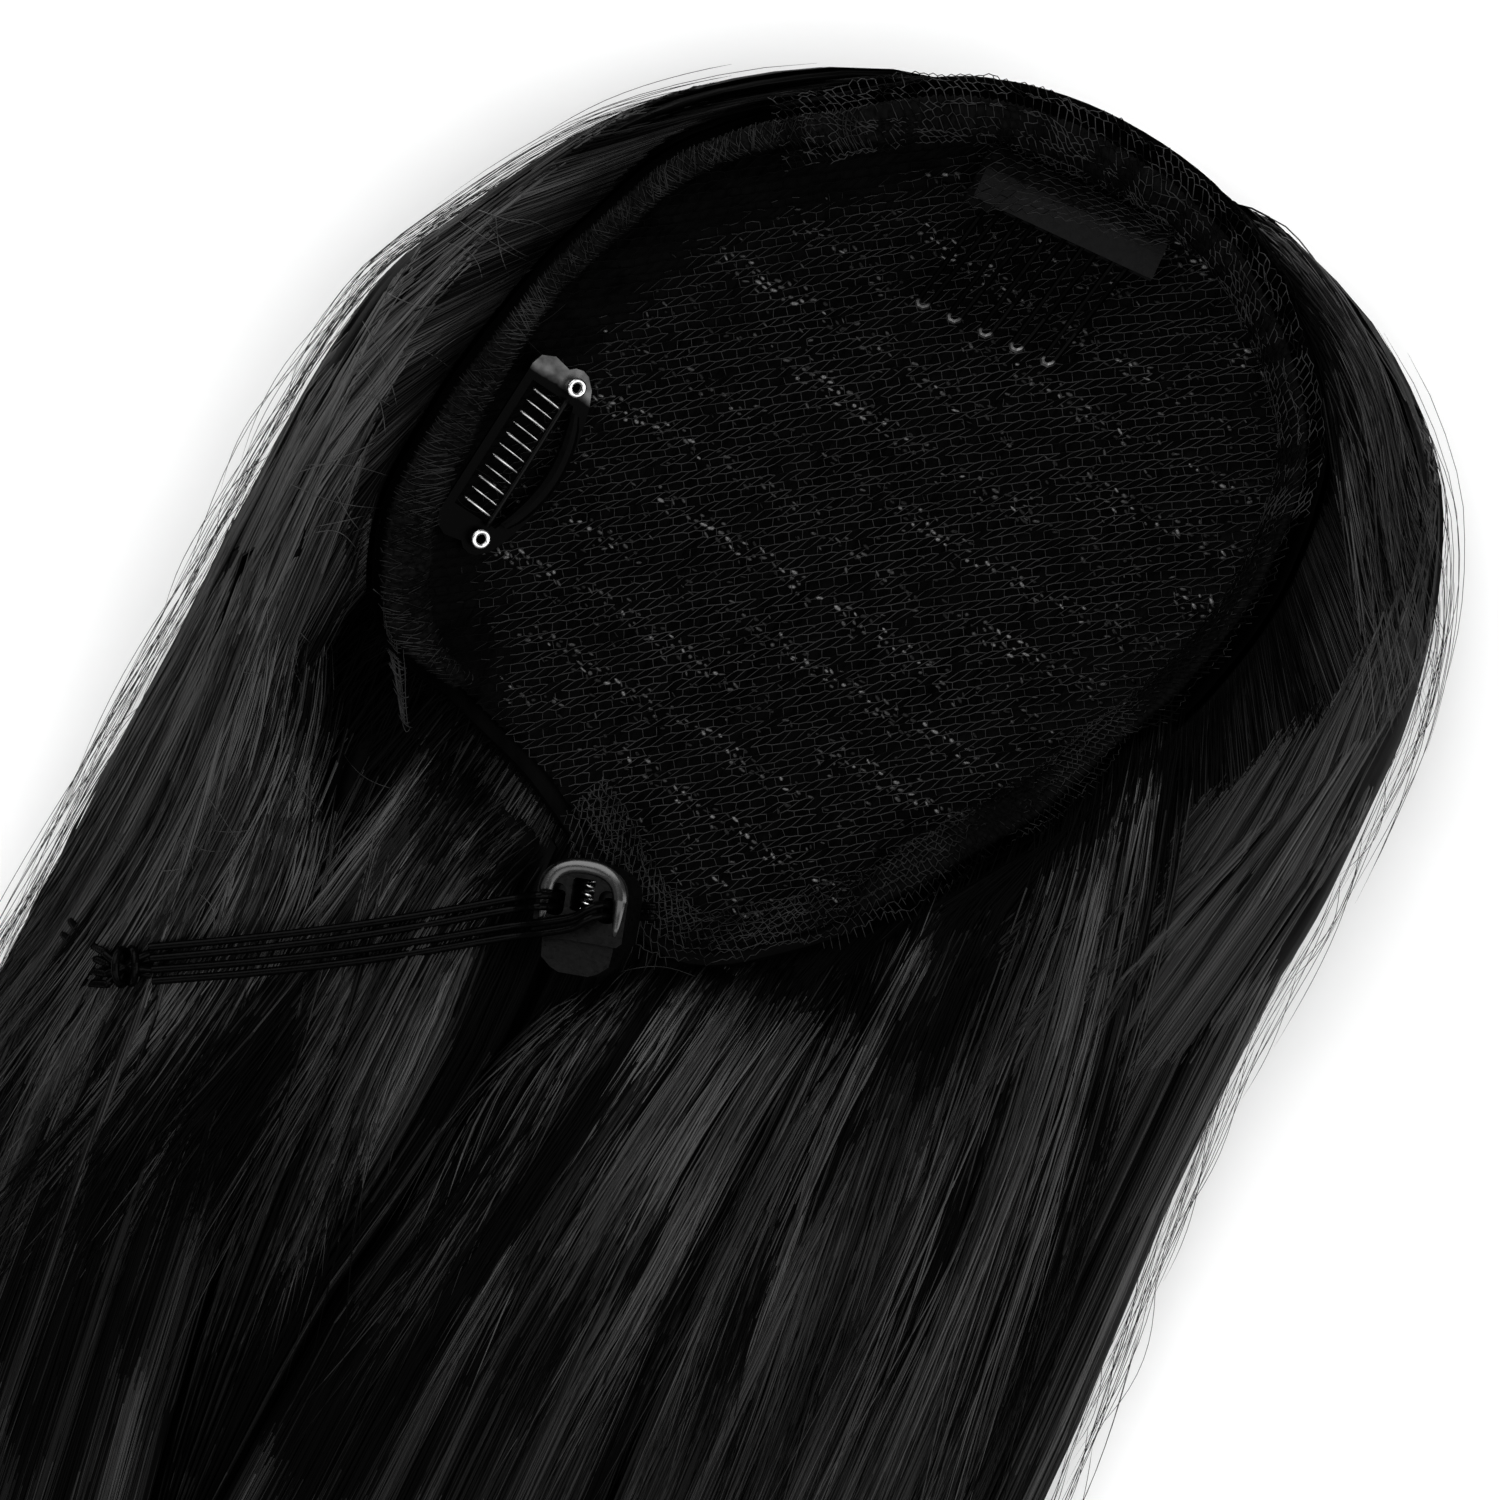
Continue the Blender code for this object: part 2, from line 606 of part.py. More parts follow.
def build_clip(mats):
    f = clip_frame()
    half = CLIP_SPAN / 2
    outline, inner = [], []
    # frame: full round ends, an arched rail at the grip and a straight one at the tips
    n = 14
    for i in range(n + 1):
        t = -1 + 2 * i / n
        outline.append((t * (half + 1.0), -(3.0 + 3.6 * math.cos(t * math.pi / 2) ** 0.8)))
    for a in (-60, -30, 0, 30, 55):
        outline.append((half + 0.4 + 2.5 * math.cos(math.radians(a)), 2.6 * math.sin(math.radians(a))))
    outline += [(half + 2.4, 5.2), (half + 1.4, 7.4), (half - 0.4, 8.0)]
    outline += [(-half + 0.4, 8.0), (-half - 1.4, 7.4), (-half - 2.4, 5.2)]
    for a in (125, 150, 180, 210, 240):
        outline.append((-half - 0.4 + 2.5 * math.cos(math.radians(a)), 2.6 * math.sin(math.radians(a))))
    m = 12
    for i in range(m + 1):
        t = -1 + 2 * i / m
        inner.append((t * (half - 2.6), -(1.7 + 2.4 * math.cos(t * math.pi / 2) ** 0.8)))
    inner += [(half - 2.6, 6.5), (-half + 2.6, 6.5)]
    hole_r = 1.15
    holes = [list(reversed(circle(s * half, 0.0, hole_r, 14))) for s in (-1, 1)]
    pts, faces = plate_mesh(outline, [list(reversed(inner))] + holes, 0.0, CLIP_PLATE)
    add_object("clip_back", pts, faces, mats["clip_steel"], 35, f)

    for name, s in (("clip_eyelet_upper", 1), ("clip_eyelet_lower", -1)):
        # turned ring: lower flange clear of the frame, barrel, rolled upper flange
        prof = [(0.42, 2.15), (0.75, 2.45), (1.25, 2.35), (1.65, 1.85), (1.45, 1.35),
                (0.85, 1.2), (0.85, 0.1), (0.42, 0.1)]
        rings = []
        k = 14
        for i in range(k):
            a = 2 * math.pi * i / k
            rings.append([(s * half + r * math.cos(a), r * math.sin(a), z) for r, z in prof])
        q = len(prof)
        pts = [p for ring in rings for p in ring]
        faces = []
        for i in range(k):
            j = (i + 1) % k
            for b in range(q):
                c = (b + 1) % q
                faces.append((i * q + b, i * q + c, j * q + c, j * q + b))
        add_object(name, pts, faces, mats["bright_steel"], 50, f)

    # rubber grip strip along the arched rail
    rings = []
    for i in range(13):
        t = -1 + 2 * i / 12
        vc = -(2.5 + 3.0 * math.cos(t * math.pi / 2) ** 0.8) * 0.93
        hw = 1.35 * (1 - 0.35 * abs(t) ** 4)
        z0 = CLIP_PLATE + 0.32
        rings.append([(t * 10.4, vc - hw, z0), (t * 10.4, vc + hw, z0),
                      (t * 10.4, vc + hw * 0.9, z0 + 0.8), (t * 10.4, vc + hw * 0.35, z0 + 1.25),
                      (t * 10.4, vc - hw * 0.35, z0 + 1.25), (t * 10.4, vc - hw * 0.9, z0 + 0.8)])
    loft("clip_grip", rings, mats["grip_rubber"], f, 50)

    # toothed bar: strip on the axis of the eyelets with teeth bent over the rail
    z_axis = CLIP_AXIS_W
    edges, kinds = [], []
    for i in range(CLIP_TEETH):
        wide = 0.42 if i % 2 else 0.27
        c = (i - (CLIP_TEETH - 1) / 2) * CLIP_PITCH
        edges += [c - wide, c + wide]
    us = [-half + 2.15, -half + 3.1] + edges + [half - 3.1, half - 2.15]
    us = sorted(us)
    vs = [-0.55, 0.45, 1.0, 2.4, 3.9, 5.3, 6.2]
    lift = [0.0, 0.0, 0.25, 1.15, 1.35, 0.75, 0.1]
    thick = 0.45

    def filled(i, j):
        if i == 0 or i == len(us) - 2:
            return j == 0
        if j < 2:
            return True
        return i % 2 == 0 and 2 <= i <= len(us) - 4

    index, pts, faces = {}, [], []

    def vert(i, j, side):
        key = (i, j, side)
        if key not in index:
            index[key] = len(pts)
            pts.append((us[i], vs[j], z_axis - thick / 2 + lift[j] + thick * side))
        return index[key]

    nu, nv = len(us) - 1, len(vs) - 1
    for i in range(nu):
        for j in range(nv):
            if not filled(i, j):
                continue
            for side in (0, 1):
                faces.append((vert(i, j, side), vert(i + 1, j, side),
                              vert(i + 1, j + 1, side), vert(i, j + 1, side)))
            for di, dj, e in ((-1, 0, ((i, j), (i, j + 1))), (1, 0, ((i + 1, j), (i + 1, j + 1))),
                              (0, -1, ((i, j), (i + 1, j))), (0, 1, ((i, j + 1), (i + 1, j + 1)))):
                a, b = i + di, j + dj
                if 0 <= a < nu and 0 <= b < nv and filled(a, b):
                    continue
                (p, q), (r, t) = e
                faces.append((vert(p, q, 0), vert(r, t, 0), vert(r, t, 1), vert(p, q, 1)))
    comb = add_object("clip_comb", pts, faces, mats["bright_steel"], 35, f)
    # its origin is on the axis through the two eyelets
    axis_point = f @ Vector((0, 0, z_axis)) * MM
    comb.data.transform(Matrix.Translation(-axis_point))
    comb.location = axis_point
    return f


# --------------------------------------------------------------- side comb
COMB_MID_X = 8.6
COMB_Y = 55.0


def build_comb(mats):
    """Five wire loops bent from one length, their heads under a folded tape."""
    def height(y):
        # clear of the bowl under it, tips raised a little
        t = (COMB_Y - y) / COMB_LEG
        return 22.0 - 3.4 * smooth_step(0.0, 0.75, t) + 0.9 * smooth_step(0.75, 1.0, t)

    lean = -0.22

    def on(x, along):
        y = COMB_Y - along
        return (x + lean * along, y, height(y))

    route = []
    half = COMB_LOOP / 2
    for i in range(COMB_TEETH):
        c = COMB_MID_X + (i - (COMB_TEETH - 1) / 2) * COMB_PITCH
        for along in (0.0, 5.0, 10.0, 15.0, COMB_LEG - 1.6):
            route.append(on(c - half * (1.0 - 0.25 * along / COMB_LEG), along))
        for a in (150, 115, 65, 30):
            r = math.radians(a)
            route.append(on(c + 0.75 * half * math.cos(r) * 1.1, COMB_LEG - 1.2 + 1.2 * math.sin(r)))
        for along in (COMB_LEG - 1.6, 15.0, 10.0, 5.0, 0.0):
            route.append(on(c + half * (1.0 - 0.25 * along / COMB_LEG), along))
        if i < COMB_TEETH - 1:
            d = COMB_PITCH
            m = c + d / 2
            w = (COMB_PITCH - COMB_LOOP) / 2
            for a in (140, 90, 40):
                r = math.radians(a)
                route.append(on(m + w * math.cos(r), -1.35 * math.sin(r)))
    tube("side_comb", route, COMB_WIRE_D, mats["comb_wire"], 1)

    # tape: folded over the wire heads, open along its lower edge
    x0, x1 = COMB_MID_X - 15.2, COMB_MID_X + 15.6
    z = height(COMB_Y)
    section = [(-2.8, 1.15), (0.6, 1.15), (2.2, 0.95), (2.6, 0.0), (2.2, -0.95), (0.6, -1.15),
               (-2.8, -1.15), (-2.8, -1.8), (1.2, -1.8), (3.6, -1.2), (4.6, 0.0),
               (3.6, 1.2), (1.2, 1.8), (-2.8, 1.8)]
    rings = []
    for x in np.linspace(x0, x1, 9):
        rings.append([(float(x), COMB_Y + a, z + b) for a, b in section])
    loft("comb_tape", rings, mats["tape"], None, 50)


# --------------------------------------------------------------- cord lock
LOCK_AT = (-14.8, -73.1, 21.8)
LOCK_TURN = -9.0              # in plan, degrees


def lock_frame():
    """Lock's own axes: x to its left, y towards the button's exposed end, z face."""
    turn = Matrix.Rotation(math.radians(LOCK_TURN), 3, "Z")
    y = turn @ Vector((0.42, -0.907, 0.0)).normalized()
    across = turn @ Vector((0.907, 0.42, 0.0)).normalized()
    tilt = math.radians(16.0)
    z = Vector((0, 0, 1)) * math.cos(tilt) - across * math.sin(tilt)
    x = y.cross(z).normalized()
    m = Matrix.Identity(4)
    for row in range(3):
        m[row][0], m[row][1], m[row][2], m[row][3] = x[row], y[row], z[row], LOCK_AT[row]
    return m


def build_lock(mats):
    f = lock_frame()
    hw, hh, ht = LOCK_W / 2, LOCK_H / 2, LOCK_T / 2
    # shell outline: domed at -y, straight sides, open towards +y
    def arch(half, high, power, n):
        pts = []
        for a in np.linspace(180, 0, n):
            c, sn = math.cos(math.radians(a)), math.sin(math.radians(a))
            pts.append((half * math.copysign(abs(c) ** (2 / power), c),
                        -hh + 5.2 - high * abs(sn) ** (2 / power)))
        return pts

    dome = arch(hw, 5.2, 2.4, 17)
    outline = dome + [(hw, hh - 0.8), (hw - 0.8, hh), (-hw + 0.8, hh), (-hw, hh - 0.8)]
    cav = hw - 1.3
    inner = arch(cav, 4.1, 3.0, 13) + [(cav, hh + 2), (-cav, hh + 2)]
    hole_y = LOCK_HOLE_Y
    hole = rounded_rect(-1.6, -3.0, 1.6, 2.1, 1.2, 3)

    pts, faces = plate_mesh(outline, [], -ht, ht)
    body = add_object("lock_body", pts, faces, mats["lock_plastic"], 35)
    bev = body.modifiers.new("edge", "BEVEL")
    bev.width = 0.9 * MM
    bev.segments = 2
    bev.limit_method = "ANGLE"
    bev.angle_limit = math.radians(50)

    def cutter(name, outline2, z0, z1):
        p, q = plate_mesh(outline2, [], z0, z1)
        c = add_object(name, p, q, mats["lock_plastic"], 35)
        c.hide_render = True
        c.display_type = "WIRE"
        c.matrix_world = f
        c.location = Vector(LOCK_AT) * MM
        return c

    cuts = [cutter("cut_cavity", inner, -ht + LOCK_WALL, ht - LOCK_WALL)]
    for s in (-1, 1):
        cuts.append(cutter("cut_hole_%d" % (s + 1),
                           [(s * LOCK_HOLE_X + x, hole_y + y) for x, y in hole], -ht - 1, ht + 1))
    cuts.append(cutter("cut_window", rounded_rect(-1.85, -3.6, 1.85, 1.6, 0.5, 2), 0.0, ht + 1))
    rot = f.to_3x3().to_4x4()
    body.matrix_world = Matrix.Translation(Vector(LOCK_AT) * MM) @ rot
    for c in cuts:
        c.matrix_world = body.matrix_world.copy()
        mod = body.modifiers.new(c.name, "BOOLEAN")
        mod.operation = "DIFFERENCE"
        mod.object = c

    # button: two slotted cheeks beside the spring, and a thumb pad outside
    cheek = cav - LOCK_FIT
    bt = ht - LOCK_WALL - LOCK_FIT
    top = hole_y - 1.95 - 0.85
    notch = 2.15
    pad = hh + 5.2
    b_out = [(-cheek, top + 0.9), (-cheek + 0.9, top), (-notch, top), (-notch, 2.2), (notch, 2.2),
             (notch, top), (cheek - 0.9, top), (cheek, top + 0.9),
             (cheek, hh + 0.5), (cheek - 0.3, hh + 3.2), (cheek - 2.0, pad - 0.6), (2.4, pad),
             (-2.4, pad), (-cheek + 2.0, pad - 0.6), (-cheek + 0.3, hh + 3.2), (-cheek, hh + 0.5)]
    # each slot stays clear of the cords from rest to fully pressed
    slots = [[(s * LOCK_HOLE_X + x, y) for x, y in
              rounded_rect(-1.1, hole_y - 1.95, 1.1, hole_y + 1.95 + LOCK_PRESS, 0.5, 2)]
             for s in (-1, 1)]
    pts, faces = plate_mesh(b_out, [list(reversed(s)) for s in slots], -bt, bt)
    button = add_object("lock_button", pts, faces, mats["lock_plastic"], 35)
    button.matrix_world = Matrix.Translation(Vector(LOCK_AT) * MM) @ rot

    # coil spring in the notch
    turns, n = 4, 10
    y0, y1 = -hh + 1.1 + 0.25 + 0.4, 2.2 - 0.6
    route = []
    for i in range(turns * n + 1):
        a = 2 * math.pi * i / n
        route.append(Vector((1.3 * math.cos(a), y0 + (y1 - y0) * i / (turns * n), 1.3 * math.sin(a))))
    tube("lock_spring", [f @ p for p in route], 0.5, mats["bright_steel"], 0)
    return f


# -------------------------------------------------------------------- cords
KNOT_AT = (-75.5, -112.0)


def cord_routes(f):
    """Two pairs of strands from behind the lock, through it, to the knot."""
    knot_z = hair_top(*KNOT_AT) + 0.6 + KNOT_D * 0.42
    knot = Vector((KNOT_AT[0], KNOT_AT[1], knot_z))
    direction = Vector((-0.86, -0.51, 0.0)).normalized()
    sideways = Vector((direction.y, -direction.x, 0.0))
    lock_y = (f.to_3x3() @ Vector((0, 1, 0))).normalized()
    over = LOCK_T / 2 + CORD_D / 2 + 0.5
    routes = []

    def at(v):
        # v.x counts to the right, against the lock's own x
        return f @ Vector((-v.x, v.y, v.z))

    pairs = [
        # name, hole side, place below the left hole, place where it leaves, side of the knot
        ("upper", -1, 0.0, 1.3, 1.75),
        ("lower", 1, 4.1, 5.7, -1.75),
    ]
    for name, side, pass_y, leave_y, at_knot in pairs:
        hole = Vector((side * LOCK_HOLE_X, LOCK_HOLE_Y, 0.0))
        ctrl = [hole + Vector(v) for v in (
            (5.2, -0.7, -LOCK_T / 2 - 1.5), (1.9, -0.3, -LOCK_T / 2 - 1.3),
            (0.1, 0.0, -LOCK_T / 2 + 0.5), (0.0, 0.0, LOCK_T / 2 - 0.6),
            (-0.45, 0.0, LOCK_T / 2 + 1.1), (-1.8, 0.2 if side < 0 else 0.7, over + 1.4))]
        if side > 0:
            ctrl.append(Vector((0.0, LOCK_HOLE_Y + 2.5, over + 1.1)))
            ctrl.append(Vector((-LOCK_HOLE_X - 0.4, LOCK_HOLE_Y + pass_y, over + 0.6)))
        pts = [at(v) for v in ctrl]
        leave = at(Vector((-10.5, LOCK_HOLE_Y + leave_y, over - 0.2)))
        pts.append(leave)
        end = knot - direction * (KNOT_D * 0.42 + 0.9) + sideways * at_knot
        end.z = knot.z - 0.3
        for t in (0.25, 0.5, 0.75):
            p = leave.lerp(end, t)
            p += sideways * (-0.9 * math.sin(math.pi * t))
            top = max(hair_top(p.x + dx, p.y + dy) for dx in (-2, 0, 2) for dy in (-2, 0, 2))
            p.z = max(top + CORD_D / 2 + 0.7, p.z - 0.8 * math.sin(math.pi * t))
            pts.append(p)
        pts.append(end)
        fine = smooth_route(pts, 161)
        # close together through the lock, further apart along the free run
        share = [i * 0.0215 for i in range(15)] + [0.37 + 0.63 * i / 6 for i in range(7)]
        centre = [fine[round(q * 160)] for q in share]
        for strand, off in (("1", -0.87), ("2", 0.87)):
            line = []
            for q, p in zip(share, centre):
                mix = smooth_step(0.4, 0.9, q)
                lateral = (lock_y * (1 - mix) - sideways * mix).normalized()
                line.append(p + lateral * off)
            routes.append(("cord_%s_%s" % (name, strand), line))
    return routes, knot


def build_cords(mats, f):
    routes, knot = cord_routes(f)
    for name, pts in routes:
        tube(name, pts, CORD_D, mats["elastic"], 2)
    # knot: a lumpy ball, taller than wide across the cords
    n, m = 12, 7
    direction = Vector((-0.86, -0.51, 0.0)).normalized()
    side = Vector((direction.y, -direction.x, 0.0))
    pts = [tuple(knot + Vector((0, 0, -KNOT_D * 0.42)))]
    for j in range(1, m):
        b = -math.pi / 2 + math.pi * j / m
        for i in range(n):
            a = 2 * math.pi * i / n
            lump = 1.0 + 0.05 * math.cos(3 * a + 2 * b)
            p = (direction * math.cos(a) * 0.42 + side * math.sin(a) * 0.55) * math.cos(b) * lump * KNOT_D
            pts.append(tuple(knot + p + Vector((0, 0, 0.42 * KNOT_D * math.sin(b)))))
    pts.append(tuple(knot + Vector((0, 0, KNOT_D * 0.42))))
    last = len(pts) - 1
    faces = [(0, 1 + (i + 1) % n, 1 + i) for i in range(n)]
    for j in range(m - 2):
        for i in range(n):
            a, b = 1 + j * n + i, 1 + j * n + (i + 1) % n
            faces.append((a, b, b + n, a + n))
    top = 1 + (m - 2) * n
    faces += [(last, top + i, top + (i + 1) % n) for i in range(n)]
    add_object("cord_knot", pts, faces, mats["elastic"], 80)
    # four cut ends beyond the knot, in two pairs
    ends = [
        # side of the knot, turn in plan, length
        (-2.45, -13, 8.8),
        (-0.8, -22, 9.4),
        (0.85, -43, 9.2),
        (2.5, -53, 8.4),
    ]
    for k, (at_knot, turn, far) in enumerate(ends):
        d = Matrix.Rotation(math.radians(turn), 3, "Z") @ direction
        a = knot + direction * (KNOT_D * 0.42 + 0.8) + side * at_knot
        m1, b = a + direction * far * 0.2 + d * far * 0.3, a + direction * far * 0.2 + d * far * 0.8
        for p in (m1, b):
            p.z = hair_top(p.x, p.y) + CORD_D / 2 + 0.9
        m1.z = max(m1.z, (a.z + b.z) / 2)
        tube("cord_tail_%d" % (k + 1), smooth_route([a, m1, b], 6), CORD_D, mats["elastic"], 2)


def main():
    for obj in list(bpy.data.objects):
        bpy.data.objects.remove(obj, do_unlink=True)
    mats = {
        "hair": material("hair", (0.012, 0.011, 0.011), 0.42),
        "net": material("net", (0.02, 0.02, 0.021), 0.8),
        "casing": material("casing", (0.02, 0.02, 0.02), 0.85),
        "elastic": material("elastic", (0.015, 0.015, 0.015), 0.7),
        "clip_steel": material("clip_steel", (0.05, 0.05, 0.055), 0.35, 0.8),
        "bright_steel": material("bright_steel", (0.72, 0.72, 0.72), 0.25, 1.0),
        "grip_rubber": material("grip_rubber", (0.015, 0.015, 0.015), 0.5),
        "comb_wire": material("comb_wire", (0.06, 0.06, 0.062), 0.3, 0.8),
        "tape": material("tape", (0.035, 0.035, 0.037), 0.8),
        "lock_plastic": material("lock_plastic", (0.02, 0.02, 0.02), 0.35),
    }
    build_cap(mats["net"])
    build_hem(mats["casing"])
    build_hair_under(mats["hair"])
    build_hair(mats)
    build_clip(mats)
    build_comb(mats)
    f = build_lock(mats)
    build_cords(mats, f)


main()
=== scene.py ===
import math

import bmesh
import bpy
import numpy as np
from mathutils import Matrix, Vector


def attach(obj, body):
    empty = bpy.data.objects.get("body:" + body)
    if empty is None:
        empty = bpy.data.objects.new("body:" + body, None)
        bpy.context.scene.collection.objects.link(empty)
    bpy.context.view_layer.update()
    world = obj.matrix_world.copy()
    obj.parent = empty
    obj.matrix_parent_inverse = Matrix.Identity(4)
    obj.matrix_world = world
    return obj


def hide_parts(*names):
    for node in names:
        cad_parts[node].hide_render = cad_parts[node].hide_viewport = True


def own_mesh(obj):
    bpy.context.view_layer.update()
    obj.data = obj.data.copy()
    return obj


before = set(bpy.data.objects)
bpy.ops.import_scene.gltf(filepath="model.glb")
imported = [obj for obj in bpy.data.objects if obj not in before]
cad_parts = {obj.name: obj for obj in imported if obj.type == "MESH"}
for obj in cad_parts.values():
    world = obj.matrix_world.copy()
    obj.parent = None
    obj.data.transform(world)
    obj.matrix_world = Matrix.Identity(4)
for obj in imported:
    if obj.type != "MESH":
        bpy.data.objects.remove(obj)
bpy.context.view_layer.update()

MM = 0.001
ROOT = "hairpiece"
rng = np.random.default_rng(7)

# ------------------------------------------------------------ shared measures
# The same named sizes and tables as the CAD model's, in millimetres.
CAP_CENTRE = (0.0, -2.0)
CAP_FLOOR_Z = 14.0
CAP_WALL = 1.2
CAP_PROFILE = 3.2
GAP = 0.45
HEM_WIDTH = 6.6
EDGE_H = 2.5
CORD_D = 1.3
KNOT_D = 6.4
LOCK_W, LOCK_H, LOCK_T = 15.0, 12.6, 7.6
LOCK_WALL = 1.1
LOCK_HOLE_X = 4.3
LOCK_HOLE_Y = 0.7
LOCK_AT = (-14.8, -73.1, 21.8)
LOCK_TURN = -9.0
KNOT_AT = (-75.5, -112.0)

RIM = [
    # angle, radius, height, lean
    (0, 57.5, 28.0, 58), (20, 65.0, 30.0, 62), (40, 72.0, 32.0, 60), (62, 73.0, 33.0, 52),
    (82, 71.5, 33.0, 38), (100, 69.0, 33.5, 22), (122, 64.0, 35.0, 12), (140, 64.0, 36.0, 10),
    (156, 62.5, 36.5, 10), (172, 63.5, 36.0, 10), (190, 68.0, 35.0, 10), (204, 74.0, 33.0, 12),
    (216, 76.0, 29.0, 13), (228, 68.0, 22.0, 14), (242, 64.0, 17.5, 14), (256, 66.5, 15.3, 14),
    (270, 72.5, 15.2, 14), (286, 65.0, 16.5, 16), (300, 58.5, 19.0, 20), (318, 54.0, 23.0, 32),
    (340, 53.0, 26.0, 48),
]
HEM_FROM, HEM_TO = 226.0, -66.0
HAIR_EDGE = [
    # y, left, right
    (70, -10, 40), (67, -24, 48), (62, -37, 59), (51, -53, 73), (39, -65, 82), (19, -78, 89),
    (0, -87, 91.5), (-21, -90, 91.5), (-57, -92, 88.5), (-102, -94, 90.5), (-150, -95, 91.5),
    (-198, -93, 90), (-250, -86, 84), (-300, -74, 74), (-335, -60, 60), (-356, -46, 44),
]
PARTINGS = [
    # y, left_inner, deep_parting, right_centre
    (-44, -73.5, -18, 34), (-58, -68, -18, 33), (-75, -61, -18, 30), (-95, -54, -17, 27),
    (-120, -48, -20, 26), (-150, -43, -26, 27), (-180, -39, -28, 28), (-215, -33, -30, 29),
    (-260, -28, -28, 27), (-310, -18, -18, 22), (-356, -8, -8, 16),
]
SIDE_CROWN = [
    # y, left, right
    (70, 18, 20), (62, 25, 27), (51, 31, 32), (39, 34, 35), (19, 37, 37), (0, 39, 38),
    (-21, 39, 38), (-57, 35, 36), (-80, 30, 33), (-110, 26.5, 30), (-150, 25, 28),
    (-198, 23, 25), (-250, 20, 21), (-300, 16, 16), (-335, 11, 11), (-356, 7, 7),
]
CENTRE_CROWN = [
    # y, crown
    (-44, 12), (-70, 12.5), (-78, 13.2), (-90, 17.5), (-110, 22), (-150, 25), (-198, 23),
    (-250, 20), (-300, 15.5), (-335, 11), (-356, 7),
]
INNER_CROWN = [
    # y, crown
    (-44, 11), (-62, 15), (-78, 21), (-95, 24), (-120, 24.5), (-150, 23.5), (-180, 21.5),
    (-212, 15),
]


def spline_table(table, key, column, period=None):
    """Smooth interpolation of one column of a table by its first column."""
    rows = sorted(table, key=lambda r: r[0])
    xs = [float(r[0]) for r in rows]
    ys = [float(r[column]) for r in rows]
    if period:
        key = (key - xs[0]) % period + xs[0]
        xs = [xs[-1] - period] + xs + [xs[0] + period, xs[1] + period]
        ys = [ys[-1]] + ys + [ys[0], ys[1]]
    key = min(max(key, xs[0]), xs[-1])
    i = max(0, min(len(xs) - 2, int(np.searchsorted(xs, key, side="right")) - 1))

    def slope(k):
        if k <= 0:
            return (ys[1] - ys[0]) / (xs[1] - xs[0])
        if k >= len(xs) - 1:
            return (ys[-1] - ys[-2]) / (xs[-1] - xs[-2])
        a = (ys[k] - ys[k - 1]) / (xs[k] - xs[k - 1])
        b = (ys[k + 1] - ys[k]) / (xs[k + 1] - xs[k])
        return 0.0 if a * b <= 0 else 2 * a * b / (a + b)

    h = xs[i + 1] - xs[i]
    t = (key - xs[i]) / h
    m0, m1 = slope(i) * h, slope(i + 1) * h
    return ((2 * t**3 - 3 * t**2 + 1) * ys[i] + (t**3 - 2 * t**2 + t) * m0
            + (-2 * t**3 + 3 * t**2) * ys[i + 1] + (t**3 - t**2) * m1)


ANG = np.arange(0.0, 360.01, 0.5)
RIM_R = np.array([spline_table(RIM, a, 1, 360.0) for a in ANG])
RIM_Z = np.array([spline_table(RIM, a, 2, 360.0) for a in ANG])
RIM_LEAN = np.array([spline_table(RIM, a, 3, 360.0) for a in ANG])
YS = np.arange(-356.0, 70.01, 0.5)


def by_y(table, column):
    return np.array([spline_table(table, y, column) for y in YS])


EDGE_L, EDGE_R = by_y(HAIR_EDGE, 1), by_y(HAIR_EDGE, 2)
PART_L, PART_D, PART_R = by_y(PARTINGS, 1), by_y(PARTINGS, 2), by_y(PARTINGS, 3)
CROWN_L, CROWN_R = by_y(SIDE_CROWN, 1), by_y(SIDE_CROWN, 2)
CROWN_C, CROWN_I = by_y(CENTRE_CROWN, 1), by_y(INNER_CROWN, 1)


def rim_r(a):
    return np.interp(np.mod(a, 360.0), ANG, RIM_R)


def rim_z(a):
    return np.interp(np.mod(a, 360.0), ANG, RIM_Z)


def rim_lean(a):
    return np.interp(np.mod(a, 360.0), ANG, RIM_LEAN)


def rho_of(x, y):
    dx, dy = x - CAP_CENTRE[0], y - CAP_CENTRE[1]
    a = np.degrees(np.arctan2(dy, dx))
    return np.hypot(dx, dy) / rim_r(a), a


def bowl_z(x, y):
    rho, a = rho_of(x, y)
    flat = 1.0 - (1.0 - np.minimum(rho, 1.0) ** CAP_PROFILE) ** (1.0 / CAP_PROFILE)
    return CAP_FLOOR_Z + (rim_z(a) - CAP_FLOOR_Z) * flat


def smooth(a, b, v):
    t = np.clip((v - a) / (b - a), 0.0, 1.0)
    return t * t * (3 - 2 * t)


def rim_outset(d):
    a = np.radians(np.arange(0, 360, 1.0))
    r = rim_r(np.degrees(a))
    x, y = CAP_CENTRE[0] + r * np.cos(a), CAP_CENTRE[1] + r * np.sin(a)
    tx, ty = np.roll(x, -1) - np.roll(x, 1), np.roll(y, -1) - np.roll(y, 1)
    n = np.hypot(tx, ty)
    return x + ty / n * d, y - tx / n * d


RX, RY = rim_outset(CAP_WALL + 0.9)
_top, _low = int(np.argmax(RY)), int(np.argmin(RY))
_l = np.arange(_top, _low + 1) % 360
_r = np.arange(_low, _top + 361) % 360
_lo, _ro = _l[np.argsort(RY[_l])], _r[np.argsort(RY[_r])]


def rim_left(y):
    return np.interp(y, RY[_lo], RX[_lo])


def rim_right(y):
    return np.interp(y, RY[_ro], RX[_ro])


def at_y(values, y):
    return np.interp(y, YS, values)


def span_left(y):
    inner = np.where(y > -44, rim_left(y),
                     np.minimum(at_y(PART_L, y), np.where(y > -58, rim_left(y), 99)) - GAP)
    return at_y(EDGE_L, y), inner


